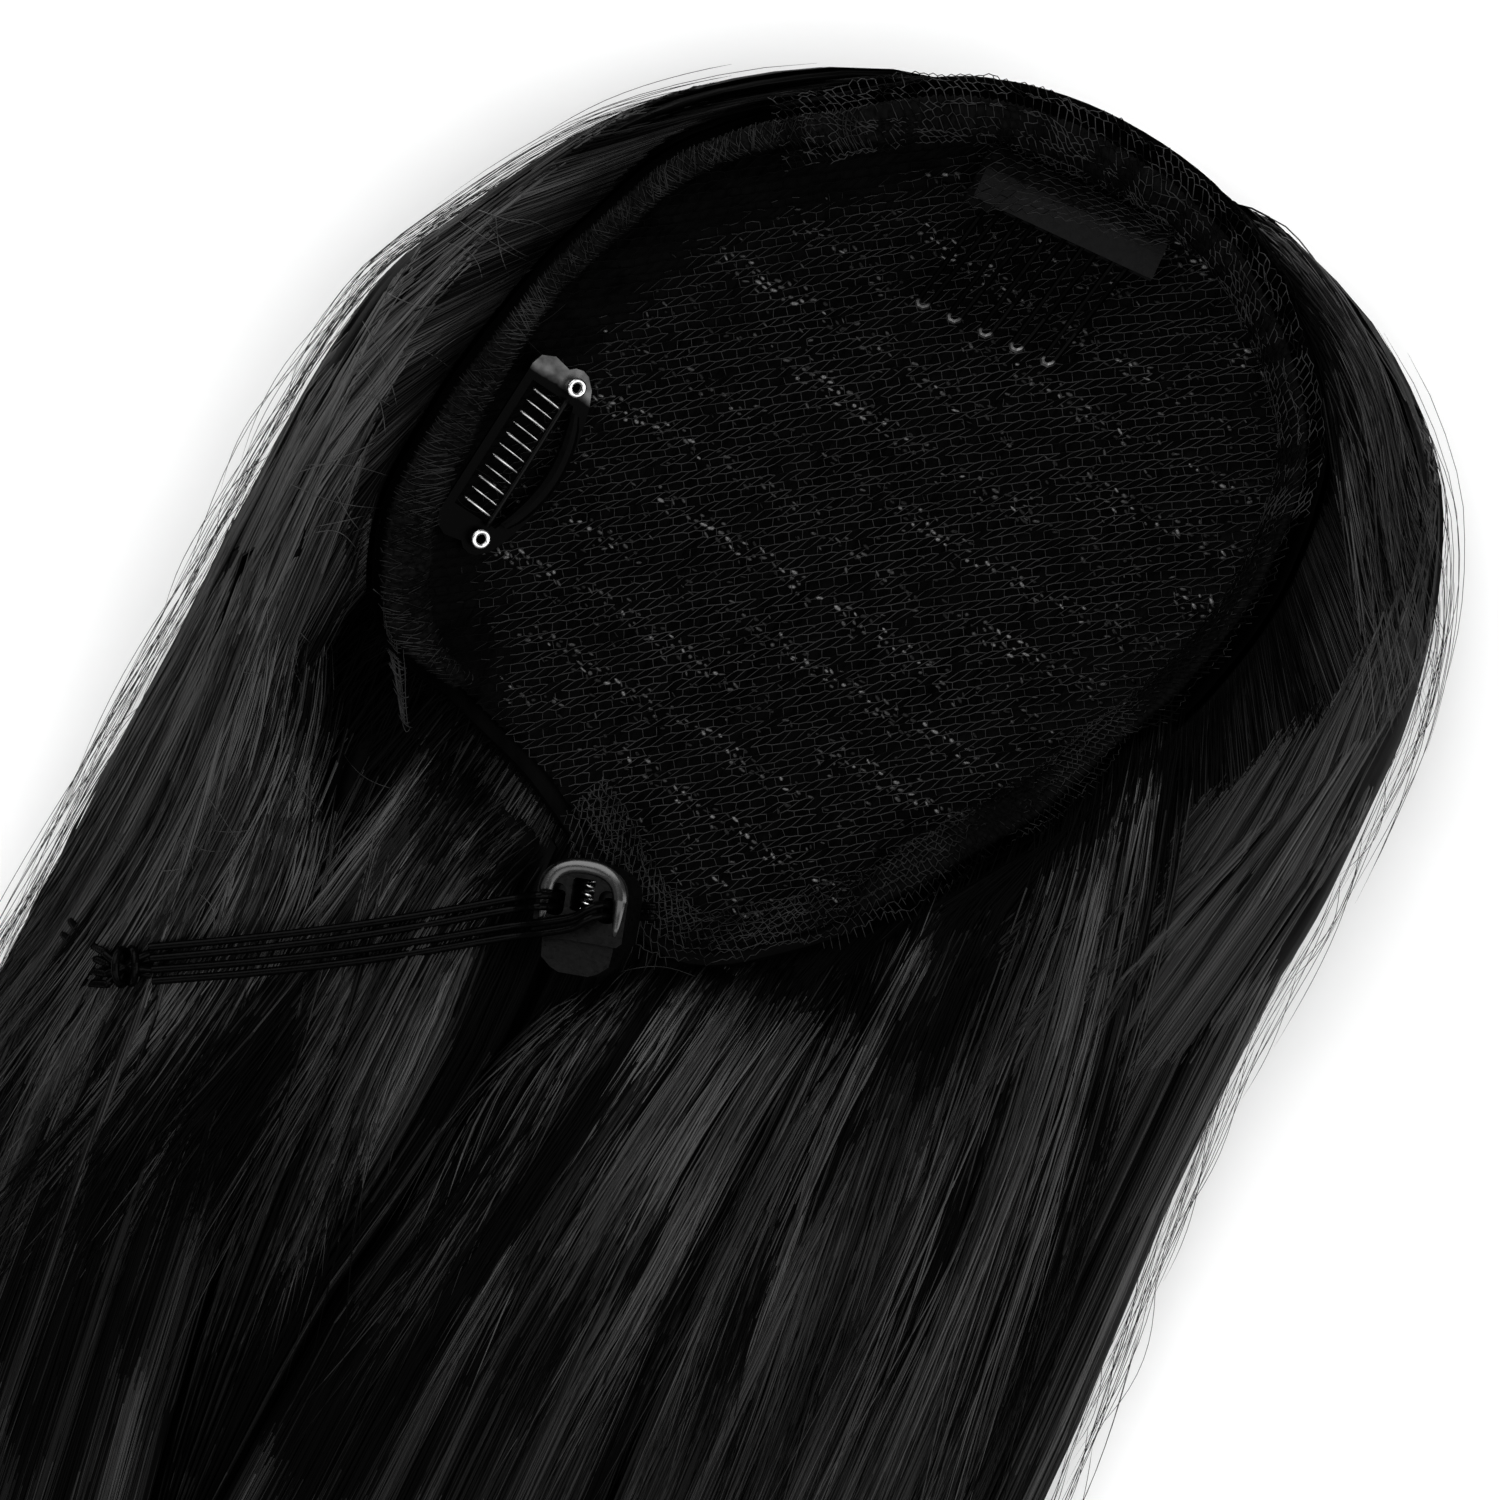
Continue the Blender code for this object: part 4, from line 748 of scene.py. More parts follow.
def build_bed():
    """Sewn wefts and the hair under the net, seen through its holes."""
    step = 1.35
    xs = np.arange(-76, 80, step)
    ys = np.arange(-78, 74, step)
    X, Y = np.meshgrid(xs, ys, indexing="ij")
    rho, ang = rho_of(X, Y)
    # pull the outer cells on to the rim
    k = np.where(rho > 0.985, 0.985 / np.maximum(rho, 1e-6), 1.0)
    PX = CAP_CENTRE[0] + (X - CAP_CENTRE[0]) * k
    PY = CAP_CENTRE[1] + (Y - CAP_CENTRE[1]) * k
    Z = bowl_z(PX, PY)
    # diagonal weft rows: raised bands with a stitched ripple along them
    d = math.radians(-5.0)
    across = -PX * math.sin(d) + PY * math.cos(d)
    along = PX * math.cos(d) + PY * math.sin(d)
    pitch = 9.5
    ph = (across + 1.2 * np.sin(along * 0.06)) / pitch
    fr = ph - np.floor(ph)
    band = np.exp(-((fr - 0.5) / 0.13) ** 2)
    ripple = 0.5 + 0.5 * np.sin(along * 2 * np.pi / 1.9 + np.floor(ph) * 2.1)
    edge = smooth(0.99, 0.9, rho)
    Z = Z - 0.55 + edge * (0.55 * band * (0.45 + 0.55 * ripple) + 0.16 * np.sin(PX * 4.1 + PY * 0.7) * (1 - band)
                           + 0.35 * np.sin(PX * 0.21 + 1.0) * np.sin(PY * 0.17))
    keep = rho < 1.03
    cols = len(ys)
    q = grid_quads(len(xs), cols)
    flat = keep.ravel()
    q = q[flat[q].all(axis=1)]
    used = np.unique(q)
    remap = -np.ones(flat.size, int)
    remap[used] = np.arange(len(used))
    pts = np.stack([PX.ravel(), PY.ravel(), Z.ravel()], -1)[used]
    n = len(pts)
    q = remap[q]
    # underside and side wall make it a closed shell
    low = pts.copy()
    low[:, 2] -= 0.6
    edges = np.concatenate([q[:, [0, 1]], q[:, [1, 2]], q[:, [2, 3]], q[:, [3, 0]]])
    key = np.sort(edges, axis=1)
    _, first, count = np.unique(key, axis=0, return_index=True, return_counts=True)
    border = edges[first[count == 1]]
    wall = np.stack([border[:, 1], border[:, 0], border[:, 0] + n, border[:, 1] + n], -1)
    quads = np.concatenate([q, q[:, ::-1] + n, wall])
    obj = fast_mesh("cap_wefts", np.concatenate([pts, low]), quads, np.zeros((0, 3), int), MAT["bed"])
    fix_normals(obj)
    place(obj, ROOT, "hair", "net_cap")
    return obj


def shaded(x, y, r):
    """True in the deep shade under the casing and along the right wall, with a ragged limit."""
    rho, a = rho_of(x, y)
    a = np.mod(a, 360)
    under_casing = smooth(84, 112, a) * smooth(236, 218, a) * 0.185
    right = smooth(300, 322, a) * 0.07 + smooth(40, 10, a) * 0.05
    low = smooth(232, 262, a) * smooth(300, 286, a) * 0.02
    limit = 0.985 - under_casing - right - low
    return rho > limit + 0.025 * r.standard_normal(np.shape(x))


def build_loops():
    """The small loops of hair that the wefts are sewn down with, coloured as painted glints of the glossy hair under
    the net in three levels, and left out in the painted shade.
    """
    r = np.random.default_rng(5)
    d = math.radians(-5.0)
    pitch = 9.5
    base = []
    for k in range(-9, 10):
        for lane in (-1.5, -0.3, 0.9):
            al = -80.0
            while al < 82:
                al += 1.55 * r.uniform(0.75, 1.35)
                ac = (k + 0.5) * pitch - 1.2 * math.sin(al * 0.06) + lane + 0.25 * r.standard_normal()
                x, y = al * math.cos(d) - ac * math.sin(d), al * math.sin(d) + ac * math.cos(d)
                patch = math.sin(x * 0.085 + k * 1.9) + math.sin(x * 0.19 + k * 3.1 + y * 0.05)
                if r.random() < 0.62 + 0.25 * patch:
                    level = np.digitize(r.random() + 0.16 * patch - 0.12 * abs(lane + 0.3), (0.45, 0.80))
                    base.append((x, y, r.uniform(0.38, 0.80), r.uniform(0.22, 0.42), r.uniform(-0.7, 0.5), level))
    for _ in range(1500):
        x, y = r.uniform(-68, 62), r.uniform(-72, 68)
        patch = math.sin(x * 0.13 + 1.0) * math.sin(y * 0.11 + 2.0)
        base.append((x, y, r.uniform(0.3, 0.8), r.uniform(0.14, 0.32), r.uniform(-1.0, 0.7),
                     0 if r.random() < 0.72 - 0.2 * patch else 1))
    base = np.array(base)
    rho, _ = rho_of(base[:, 0], base[:, 1])
    # no painted glints in the painted shade under the casing and along the right wall
    base = base[(rho < 0.93) & ~shaded(base[:, 0], base[:, 1], r)]
    z = bowl_z(base[:, 0], base[:, 1]) + 0.02
    n = len(base)
    ring, lay = 6, 2
    th = np.arange(ring) * 2 * np.pi / ring
    pts = np.zeros((n, ring * lay + 2, 3))
    ca, sa = np.cos(base[:, 4])[:, None], np.sin(base[:, 4])[:, None]
    for l, (k, h) in enumerate(((1.0, 0.0), (0.72, 0.22))):
        u = base[:, 2, None] * np.cos(th)[None] * k
        v = base[:, 3, None] * np.sin(th)[None] * k
        pts[:, l * ring:(l + 1) * ring, 0] = base[:, 0, None] + u * ca - v * sa
        pts[:, l * ring:(l + 1) * ring, 1] = base[:, 1, None] + u * sa + v * ca
        pts[:, l * ring:(l + 1) * ring, 2] = z[:, None] + h
    pts[:, -2] = np.stack([base[:, 0], base[:, 1], z - 0.25], -1)
    pts[:, -1] = np.stack([base[:, 0], base[:, 1], z + 0.30], -1)
    off = (np.arange(n) * (ring * lay + 2))[:, None]
    quads, tris = [], []
    for k in range(ring):
        b = (k + 1) % ring
        quads.append(np.concatenate([off + k, off + b, off + ring + b, off + ring + k], 1))
        tris.append(np.concatenate([off + b, off + k, off + ring * lay], 1))
        tris.append(np.concatenate([off + ring + k, off + ring + b, off + ring * lay + 1], 1))
    obj = fast_mesh("weft_loops_painted_glints", pts.reshape(-1, 3), np.concatenate(quads), np.concatenate(tris), MAT["loop_painted_glint_dim"])
    obj.data.materials.append(MAT["loop_painted_glint_mid"])
    obj.data.materials.append(MAT["loop_painted_glint_bright"])
    lv = base[:, 5].astype(np.int32)
    obj.data.polygons.foreach_set("material_index", np.concatenate([np.tile(lv, ring), np.tile(lv, ring * 2)]))
    place(obj, ROOT, "hair")


def build_net():
    """Net of wavy rows joined by short slanting threads, laid in the bowl."""
    row_pitch, cell = 1.36, 2.25
    c, s = math.cos(ROW_DIR), math.sin(ROW_DIR)
    rows, links = [], []
    per = 2
    r = np.random.default_rng(11)
    nrow = int(170 / row_pitch)
    ncell = int(175 / cell)
    u0 = -88.0
    groups = []
    for i in range(nrow):
        v = -85.0 + i * row_pitch
        u = u0 + np.arange(ncell * per + 1) * (cell / per) + (cell / 2 if i % 2 else 0.0)
        zig = np.where(np.arange(len(u)) % 2 == 0, 0.0, 0.17)
        slow = np.convolve(r.standard_normal(len(u) + 8), np.ones(9) / 9, "valid")
        vv = v + zig + 0.05 * r.standard_normal(len(u)) + 0.30 * slow + 1.6 * np.sin(u * 0.028 + 0.4) - 0.010 * (u * 0.16) ** 2
        uu = u + 0.9 * np.sin(v * 0.07 + 1.0) + 0.09 * r.standard_normal(len(u))
        rows.append(np.stack([uu, vv], -1))
    rows = np.array(rows)
    X = rows[..., 0] * c - rows[..., 1] * s
    Y = rows[..., 0] * s + rows[..., 1] * c
    rho, _ = rho_of(X, Y)
    Z = bowl_z(X, Y) + 0.30 + 0.10 * np.sin(X * 0.9) * np.sin(Y * 0.8) + 0.45 * np.sin(X * 0.21 + 1.0) * np.sin(Y * 0.17)
    P = np.stack([X, Y, Z], -1)
    inside = rho < 0.992
    by_len = {}
    for i in range(nrow):
        run = []
        for j in range(P.shape[1]):
            if inside[i, j]:
                run.append(P[i, j])
            if (not inside[i, j] or j == P.shape[1] - 1) and run:
                if len(run) > 2:
                    by_len.setdefault(len(run), []).append(np.array(run))
                run = []
    groups = [np.array(v) for v in by_len.values()]
    # slanting threads from each row's low points to the next row
    for i in range(nrow - 1):
        for j in range(0, P.shape[1] - 2, 2):
            a = P[i, j + 1]
            b = P[i + 1, j + (2 if i % 2 == 0 else 2)]
            jj = j + 2 if i % 2 == 0 else j + 2
            if jj < P.shape[1] and inside[i, j + 1] and inside[i + 1, jj]:
                links.append(np.stack([a, P[i + 1, jj]]))
    cross = threads("cap_net_cross", [np.array(links)], 0.075, MAT["net"])
    co = np.empty(len(cross.data.polygons) * 3)
    cross.data.polygons.foreach_get("center", co)
    co = co.reshape(-1, 3) / MM
    cross.data.materials.append(MAT["net_shade"])
    cross.data.polygons.foreach_set("material_index", shaded(co[:, 0], co[:, 1], r).astype(np.int32))
    place(cross, ROOT, "net")
    obj = threads("cap_net", groups, 0.10, MAT["net"])
    obj.data.materials.append(MAT["net_shade"])
    co = np.empty(len(obj.data.polygons) * 3)
    obj.data.polygons.foreach_get("center", co)
    co = co.reshape(-1, 3) / MM
    # Painted shade under the casing and along the right wall, and darker threads in sine-shaped patches, take the
    # shaded thread.
    dark = shaded(co[:, 0], co[:, 1], r) | (np.sin(co[:, 0] * 0.55 + 2.0 * np.sin(co[:, 1] * 0.31))
                                            * np.sin(co[:, 1] * 0.5 + co[:, 0] * 0.12) > 0.72 + 0.12 * r.standard_normal(len(co)))
    obj.data.polygons.foreach_set("material_index", dark.astype(np.int32))
    place(obj, ROOT, "net", "net_cap")
    return obj


def hem_frame(angle):
    """Start point and the band's two directions at a rim angle, as in the CAD model."""
    a = math.radians(angle)
    out = np.array([math.cos(a), math.sin(a), 0.0])
    lean = math.radians(float(rim_lean(angle)))
    r, top = float(rim_r(angle)), float(rim_z(angle))
    up = math.sin(lean)
    start = np.array([CAP_CENTRE[0], CAP_CENTRE[1], 0.0]) + out * (r + 0.4 - 2.9 * up)
    start[2] = top + 2.1 - 1.6 * up
    along = -out * math.cos(lean) - np.array([0, 0, math.sin(lean)])
    across = -out * math.sin(lean) + np.array([0, 0, math.cos(lean)])
    return start, along, across


def fold_of(angle):
    """Loose folds of the casing where it isn't drawn tight, along the top of the cap."""
    a = np.asarray(angle, float)
    win = smooth(52, 72, a) * smooth(132, 112, a)
    return win * (0.55 * np.sin(a * 0.52 + 0.6) + 0.45 * np.sin(a * 0.93 + 2.0) + 0.3)


def build_hem_net():
    """Net threads over the untight part of the casing, running with the rim."""
    r = np.random.default_rng(19)
    angs = np.linspace(128, 26, 182)
    starts, alongs, acrosses = (np.array(v) for v in zip(*[hem_frame(a) for a in angs]))
    rows = []
    us = np.linspace(-0.52, 1.10, 10)
    for j, u in enumerate(us):
        zig = np.where(np.arange(len(angs)) % 2 == 0, 0.0, 0.34)
        slow = np.convolve(r.standard_normal(len(angs) + 8), np.ones(9) / 9, "valid")
        d = u * HEM_WIDTH + 0.7 * zig + 0.12 * r.standard_normal(len(angs)) + 0.9 * slow + 0.8 * np.sin(angs * 0.21 + j * 0.8) * (0.2 < u < 0.9)
        bulge = np.sqrt(np.clip(1 - (2 * np.clip(d / HEM_WIDTH, 0, 1) - 1) ** 2, 0, 1))
        h = (1.15 + fold_of(angs)) * bulge + 0.28 - 1.1 * np.clip(-d / 2.6, 0, 2)
        rows.append(starts + alongs * d[:, None] + acrosses * h[:, None])
    rows = np.array(rows)
    links = []
    for j in range(len(us) - 1):
        for i in range(0, len(angs) - 3, 2):
            links.append(np.stack([rows[j, i + 1], 0.5 * (rows[j, i + 1] + rows[j + 1, i + 2 + (j % 2)]),
                                   rows[j + 1, i + 2 + (j % 2)]]))
    obj = threads("hem_net", [rows, np.array(links)], 0.09, MAT["net"])
    obj.data.materials.append(MAT["net_shade"])
    co = np.empty(len(obj.data.polygons) * 3)
    obj.data.polygons.foreach_get("center", co)
    co = co.reshape(-1, 3) / MM
    a = np.degrees(np.arctan2(co[:, 1] - CAP_CENTRE[1], co[:, 0] - CAP_CENTRE[0]))
    # Painted shade: threads in bands along the rim, set by the same angular waves as the folds, take the shaded
    # thread.
    dark = np.sin(a * 0.52 + 2.2) * np.sin(a * 0.93 + 0.8) > 0.15 + 0.35 * r.standard_normal(len(a))
    obj.data.polygons.foreach_set("material_index", dark.astype(np.int32))
    place(obj, ROOT, "casing")


def build_rim_net():
    """Net that laps over the rim on the right and ends raggedly below the cap."""
    r = np.random.default_rng(37)
    angs = np.linspace(27, -112, 250)
    starts, alongs, acrosses = (np.array(v) for v in zip(*[hem_frame(max(a, HEM_TO + 0.5)) for a in angs]))
    for i, a in enumerate(angs):
        if a < HEM_TO + 0.5:
            starts[i], alongs[i], acrosses[i] = hem_frame(a)
    us = np.linspace(-0.34, 1.12, 11)
    ragged = 0.5 + 0.5 * np.convolve(r.standard_normal(len(angs) + 10), np.ones(11) / 11, "valid") * 2.2
    rows = []
    for j, u in enumerate(us):
        zig = np.where((np.arange(len(angs)) + j) % 2 == 0, 0.0, 0.42)
        slow = np.convolve(r.standard_normal(len(angs) + 6), np.ones(7) / 7, "valid")
        d = u * HEM_WIDTH + zig + 0.16 * r.standard_normal(len(angs)) + 0.8 * slow
        if u < 0:
            d = d - 2.4 * ragged * (-u / 0.34)
        bulge = np.sqrt(np.clip(1 - (2 * np.clip(d / HEM_WIDTH, 0, 1) - 1) ** 2, 0, 1))
        h = 1.28 * bulge + 0.30 - 0.9 * np.clip(-d / 3.0, 0, 2)
        rows.append(starts + alongs * d[:, None] + acrosses * h[:, None])
    rows = np.array(rows)
    links = []
    for j in range(len(us) - 1):
        for i in range(0, len(angs) - 3, 2):
            if j < 2 and ragged[i] < 0.2 * (2 - j):
                continue
            b = rows[j + 1, i + 2 + (j % 2)]
            links.append(np.stack([rows[j, i + 1], 0.5 * (rows[j, i + 1] + b), b]))
    obj = threads("rim_net", [rows[1:], np.array(links)], 0.085, MAT["casing_thread"])
    obj.data.materials.append(MAT["net_shade"])
    obj.data.materials.append(MAT["net"])
    co = np.empty(len(obj.data.polygons) * 3)
    obj.data.polygons.foreach_get("center", co)
    co = co.reshape(-1, 3) / MM
    a = np.degrees(np.arctan2(co[:, 1] - CAP_CENTRE[1], co[:, 0] - CAP_CENTRE[0]))
    # Painted shade towards the right wall takes the shaded thread; lower round the bottom the threads take the
    # brighter net thread.
    v = 0.45 * r.standard_normal(len(co)) + waves(41, 5, (0.02, 0.07), 0.0)(co[:, 0], co[:, 1] * 3)
    v = v + 0.9 * smooth(-60, -85, a) - 0.9 * smooth(-15, 10, a) - 0.5 * smooth(-55, -35, a) * smooth(-10, -30, a)
    obj.data.polygons.foreach_set("material_index", np.where(v < -0.3, 1, np.where(v > 0.7, 2, 0)).astype(np.int32))
    place(obj, ROOT, "casing")


def build_tape_net():
    """Net lying over the hidden part of the comb's tape."""
    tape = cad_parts["comb_tape"]
    co = np.array([tuple(tape.matrix_world @ v.co) for v in tape.data.vertices]) / MM
    top = co[co[:, 2] > np.median(co[:, 2])]
    fit = np.linalg.lstsq(np.column_stack([top[:, :2], np.ones(len(top))]), top[:, 2], rcond=None)[0]
    mid = co.mean(0)
    x_dir = np.linalg.svd(co[:, :2] - mid[:2])[2][0]
    if x_dir[0] < 0:
        x_dir = -x_dir
    half = np.abs((co[:, :2] - mid[:2]) @ x_dir).max()
    y_dir = np.array([-x_dir[1], x_dir[0]])
    deep = np.abs((co[:, :2] - mid[:2]) @ y_dir).max()
    r = np.random.default_rng(43)
    na, nb = 34, 9
    aa = np.linspace(-half - 1.0, half + 0.8, na)
    low = np.interp(aa / half, (-1.1, -0.82, -0.6, -0.2, 0.3, 0.75, 1.1), (-1.4, -1.3, -0.85, -0.35, -0.05, 0.1, 0.9)) * deep
    low = low + 0.10 * np.sin(aa * 3.1) + 0.06 * r.standard_normal(na)
    t = np.linspace(0, 1, nb)

    def lie(a, b, up):
        xy = mid[:2] + a[..., None] * x_dir + b[..., None] * y_dir
        z = xy @ fit[:2] + fit[2] + up
        out = np.clip(b - deep + 0.2, 0, 3) + np.clip(np.abs(a) - half, 0, 3)
        z = np.maximum(z - 0.8 * out, bowl_z(xy[..., 0], xy[..., 1]) + up)
        return np.concatenate([xy, z[..., None]], -1)

    A = np.repeat(aa[:, None], nb, 1)
    B = low[:, None] + (deep + 1.2 - low)[:, None] * t[None]
    fold = lie(A, B, 0.22 + 0.10 * np.sin(A * 1.7) * np.sin(B * 1.9))
    obj = fast_mesh("comb_tape_fold", fold.reshape(-1, 3), grid_quads(na, nb), np.zeros((0, 3), int), MAT["hem_dark"])
    place(obj, ROOT, "net")
    rows = []
    for i in range(nb):
        zig = np.where(np.arange(na) % 2 == i % 2, 0.0, 0.30)
        rows.append(lie(aa + 0.12 * r.standard_normal(na), B[:, i] + zig + 0.06 * r.standard_normal(na) - 0.1, 0.42))
    rows = np.array(rows)
    links = [np.stack([rows[i, j], rows[i + 1, j + 1]]) for i in range(nb - 1) for j in range(i % 2, na - 1, 2)]
    obj = threads("comb_tape_net", [rows, np.array(links)], 0.085, MAT["net"])
    obj.data.materials.append(MAT["net_shade"])
    obj.data.polygons.foreach_set("material_index", (r.random(len(obj.data.polygons)) < 0.35).astype(np.int32))
    place(obj, ROOT, "net")


def width_of(angle):
    """How far the casing is drawn together: slim along the upper left, full lower down."""
    a = np.asarray(angle, float)
    slim = 0.60 + 0.55 * smooth(168, 204, a)
    slim = slim * (1 - 0.45 * smooth(214, 226, a))
    return np.where(a > 128, slim, slim + (1.0 - slim) * smooth(128, 112, a))


def build_casing_threads():
    """The net's threads standing up as ribs across the drawn casing, and its frayed end."""
    r = np.random.default_rng(23)
    ribs, cross = [], []
    a = HEM_FROM - 0.6
    while a > 114:
        u = np.linspace(-0.05, 1.05, 11)
        bow = r.uniform(0.8, 1.5)
        ang = a + (bow * np.sin(np.pi * u) - 0.55 * u + 0.25 * r.standard_normal()) * 0.85
        pts = []
        for ui, ai in zip(u, ang):
            st, al, ac = hem_frame(float(ai))
            w = HEM_WIDTH * float(width_of(ai))
            bulge = math.sqrt(max(0.0, 1 - (2 * min(max(ui, 0), 1) - 1) ** 2))
            pts.append(st + al * (w * ui + 0.10 * r.standard_normal()) + ac * (1.22 * bulge + 0.14 + 0.06 * r.standard_normal()))
        ribs.append(pts)
        a -= 0.60 * r.uniform(0.8, 1.25)
    # slanting threads between the ribs where the band is twisted
    for _ in range(230):
        a0 = r.uniform(120, 224)
        d = r.choice((-1.0, 1.0)) * r.uniform(1.0, 2.4)
        u = np.linspace(0.1, 0.9, 7)
        pts = []
        for k, ui in enumerate(u):
            ai = a0 + d * (k / 6 - 0.5)
            st, al, ac = hem_frame(float(ai))
            w = HEM_WIDTH * float(width_of(ai))
            bulge = math.sqrt(max(0.0, 1 - (2 * ui - 1) ** 2))
            pts.append(st + al * (w * ui) + ac * (1.22 * bulge + 0.2))
        cross.append(pts)
    obj = threads("casing_threads", [np.array(ribs), np.array(cross)], 0.085, MAT["casing_thread"])
    obj.data.materials.append(MAT["net_shade"])
    obj.data.materials.append(MAT["net"])
    co = np.empty(len(obj.data.polygons) * 3)
    obj.data.polygons.foreach_get("center", co)
    co = co.reshape(-1, 3) / MM
    spot = waves(29, 6, (0.02, 0.09), 0.0)(co[:, 0] + co[:, 1], co[:, 1] * 4) + 0.35 * r.standard_normal(len(co))
    obj.data.polygons.foreach_set("material_index", np.where(spot < -0.25, 1, np.where(spot > 0.75, 2, 0)).astype(np.int32))
    place(obj, ROOT, "casing")
    # frayed end: a narrowing strip of loose net that hangs below the casing
    path = np.array([(-63.0, -38.0, 30.0), (-61.5, -44.0, 28.0), (-59.0, -49.5, 25.0), (-56.0, -54.5, 22.0), (-52.6, -60.0, 19.5)])
    tt = np.linspace(0, 1, 25)
    line = np.stack([np.interp(tt * 4, range(5), path[:, k]) for k in range(3)], -1)
    line[:, 2] = np.maximum(line[:, 2], np.array([hair_top(px, py) for px, py in line[:, :2]]) + 1.0)
    arcs, longs = [], []
    for i in range(46):
        q = i / 45
        c = np.array([np.interp(q * 24, range(25), line[:, k]) for k in range(3)])
        w = 7.0 * (1 - 0.74 * q) * r.uniform(0.7, 1.2)
        dirn = np.array([0.86, -0.36, 0.1]) + 0.22 * r.standard_normal(3)
        down = np.array([0.42, -0.88, -0.5])
        x = np.linspace(-1, 1, 9)
        arcs.append(c + dirn * (w * 0.5 * x)[:, None] + down * (1.0 * r.uniform(0.4, 1.2) * (1 - x * x))[:, None]
                    + np.array([0, 0, 0.9]) * (1 - x * x)[:, None])
    for _ in range(12):
        o = r.uniform(-1, 1)
        wob = 0.35 * np.sin(np.linspace(0, 9, 25) + r.uniform(0, 6))
        sidev = np.array([0.86, -0.36, 0.1])
        longs.append(line + sidev * ((o * 3.2 * (1 - 0.74 * tt)) + wob)[:, None] + np.array([0, 0, 0.5]))
    arcs, longs = np.array(arcs), np.array(longs)
    for group in (arcs, longs):
        for row in group:
            row[:, 2] = np.maximum(row[:, 2], np.array([hair_top(px, py) for px, py in row[:, :2]]) + 0.7)
    obj = threads("casing_frayed_end", [arcs, longs], 0.095, MAT["net"])
    place(obj, ROOT, "casing")


def build_casing():
    """Gathered casing: a flat sleeve of net drawn into fine ribs."""
    total = 0.0
    angs = np.linspace(HEM_FROM, HEM_TO, 600)
    mids = np.array([hem_frame(a)[0] + hem_frame(a)[1] * 3.3 for a in angs])
    run = np.concatenate([[0], np.cumsum(np.linalg.norm(np.diff(mids, axis=0), axis=1))])
    total = run[-1]
    rib = 1.04
    steps = int(total / rib * 5)
    section = []
    for k in range(12):
        a = 2 * math.pi * k / 12
        section.append((0.5 - 0.5 * math.cos(a), math.sin(a)))
    section = np.array(section)
    pts = []
    r = np.random.default_rng(3)
    jit = np.cumsum(r.standard_normal(steps + 1)) * 0.05
    for i in range(steps + 1):
        q = total * i / steps
        ang = float(np.interp(q, run, angs))
        start, along, across = hem_frame(ang)
        e = min(i, steps - i) / (steps * 0.012)
        taper = min(1.0, 0.55 + 0.45 * e)
        phase = 2 * math.pi * q / rib + jit[i]
        u, v = section[:, 0], section[:, 1]
        # ribs lean over towards the band's middle
        ph = phase + 2.2 * (u - 0.5) ** 2 * 4 - 0.9 * u
        rib_h = (np.abs(np.sin(ph / 2)) ** 0.7 - 0.6)
        puff = 1.0 + 0.10 * math.sin(q * 0.31) + 0.07 * math.sin(q * 0.83 + 1)
        half = 1.12 * puff + fold_of(ang)
        vv = v * half + np.sign(v) * 0.30 * rib_h * np.abs(v) ** 0.5
        width = HEM_WIDTH * float(width_of(ang)) * (1.0 + 0.04 * math.sin(q * 0.57))
        edge_wave = 0.18 * np.cos(ph) * (np.abs(v) < 0.3)
        p = (start[None] + along[None] * (u * width * taper + edge_wave)[:, None]
             + across[None] * (vv * taper)[:, None])
        pts.append(p)
    pts = np.array(pts)
    n, m = pts.shape[:2]
    quads = grid_quads(n, m, closed_cols=True)
    flat = pts.reshape(-1, 3)
    caps = []
    for row, flip in ((0, False), (n - 1, True)):
        flat = np.concatenate([flat, pts[row].mean(0)[None]])
        c = len(flat) - 1
        for k in range(m):
            t = (row * m + k, row * m + (k + 1) % m, c)
            caps.append(t[::-1] if flip else t)
    obj = fast_mesh("casing_ribs", flat, quads, np.array(caps), MAT["casing"])
    fix_normals(obj)
    obj.data.materials.append(MAT["hem_dark"])
    co = np.empty(len(obj.data.polygons) * 3)
    obj.data.polygons.foreach_get("center", co)
    co = co.reshape(-1, 3) / MM
    a = np.degrees(np.arctan2(co[:, 1] - CAP_CENTRE[1], co[:, 0] - CAP_CENTRE[0]))
    edge = 116.0 + 5.0 * np.sin(co[:, 2] * 1.7)
    plain = (a < edge) & (a > -75)
    obj.data.polygons.foreach_set("material_index", plain.astype(np.int32))
    place(obj, ROOT, "casing", "drawstring_casing")
    return obj


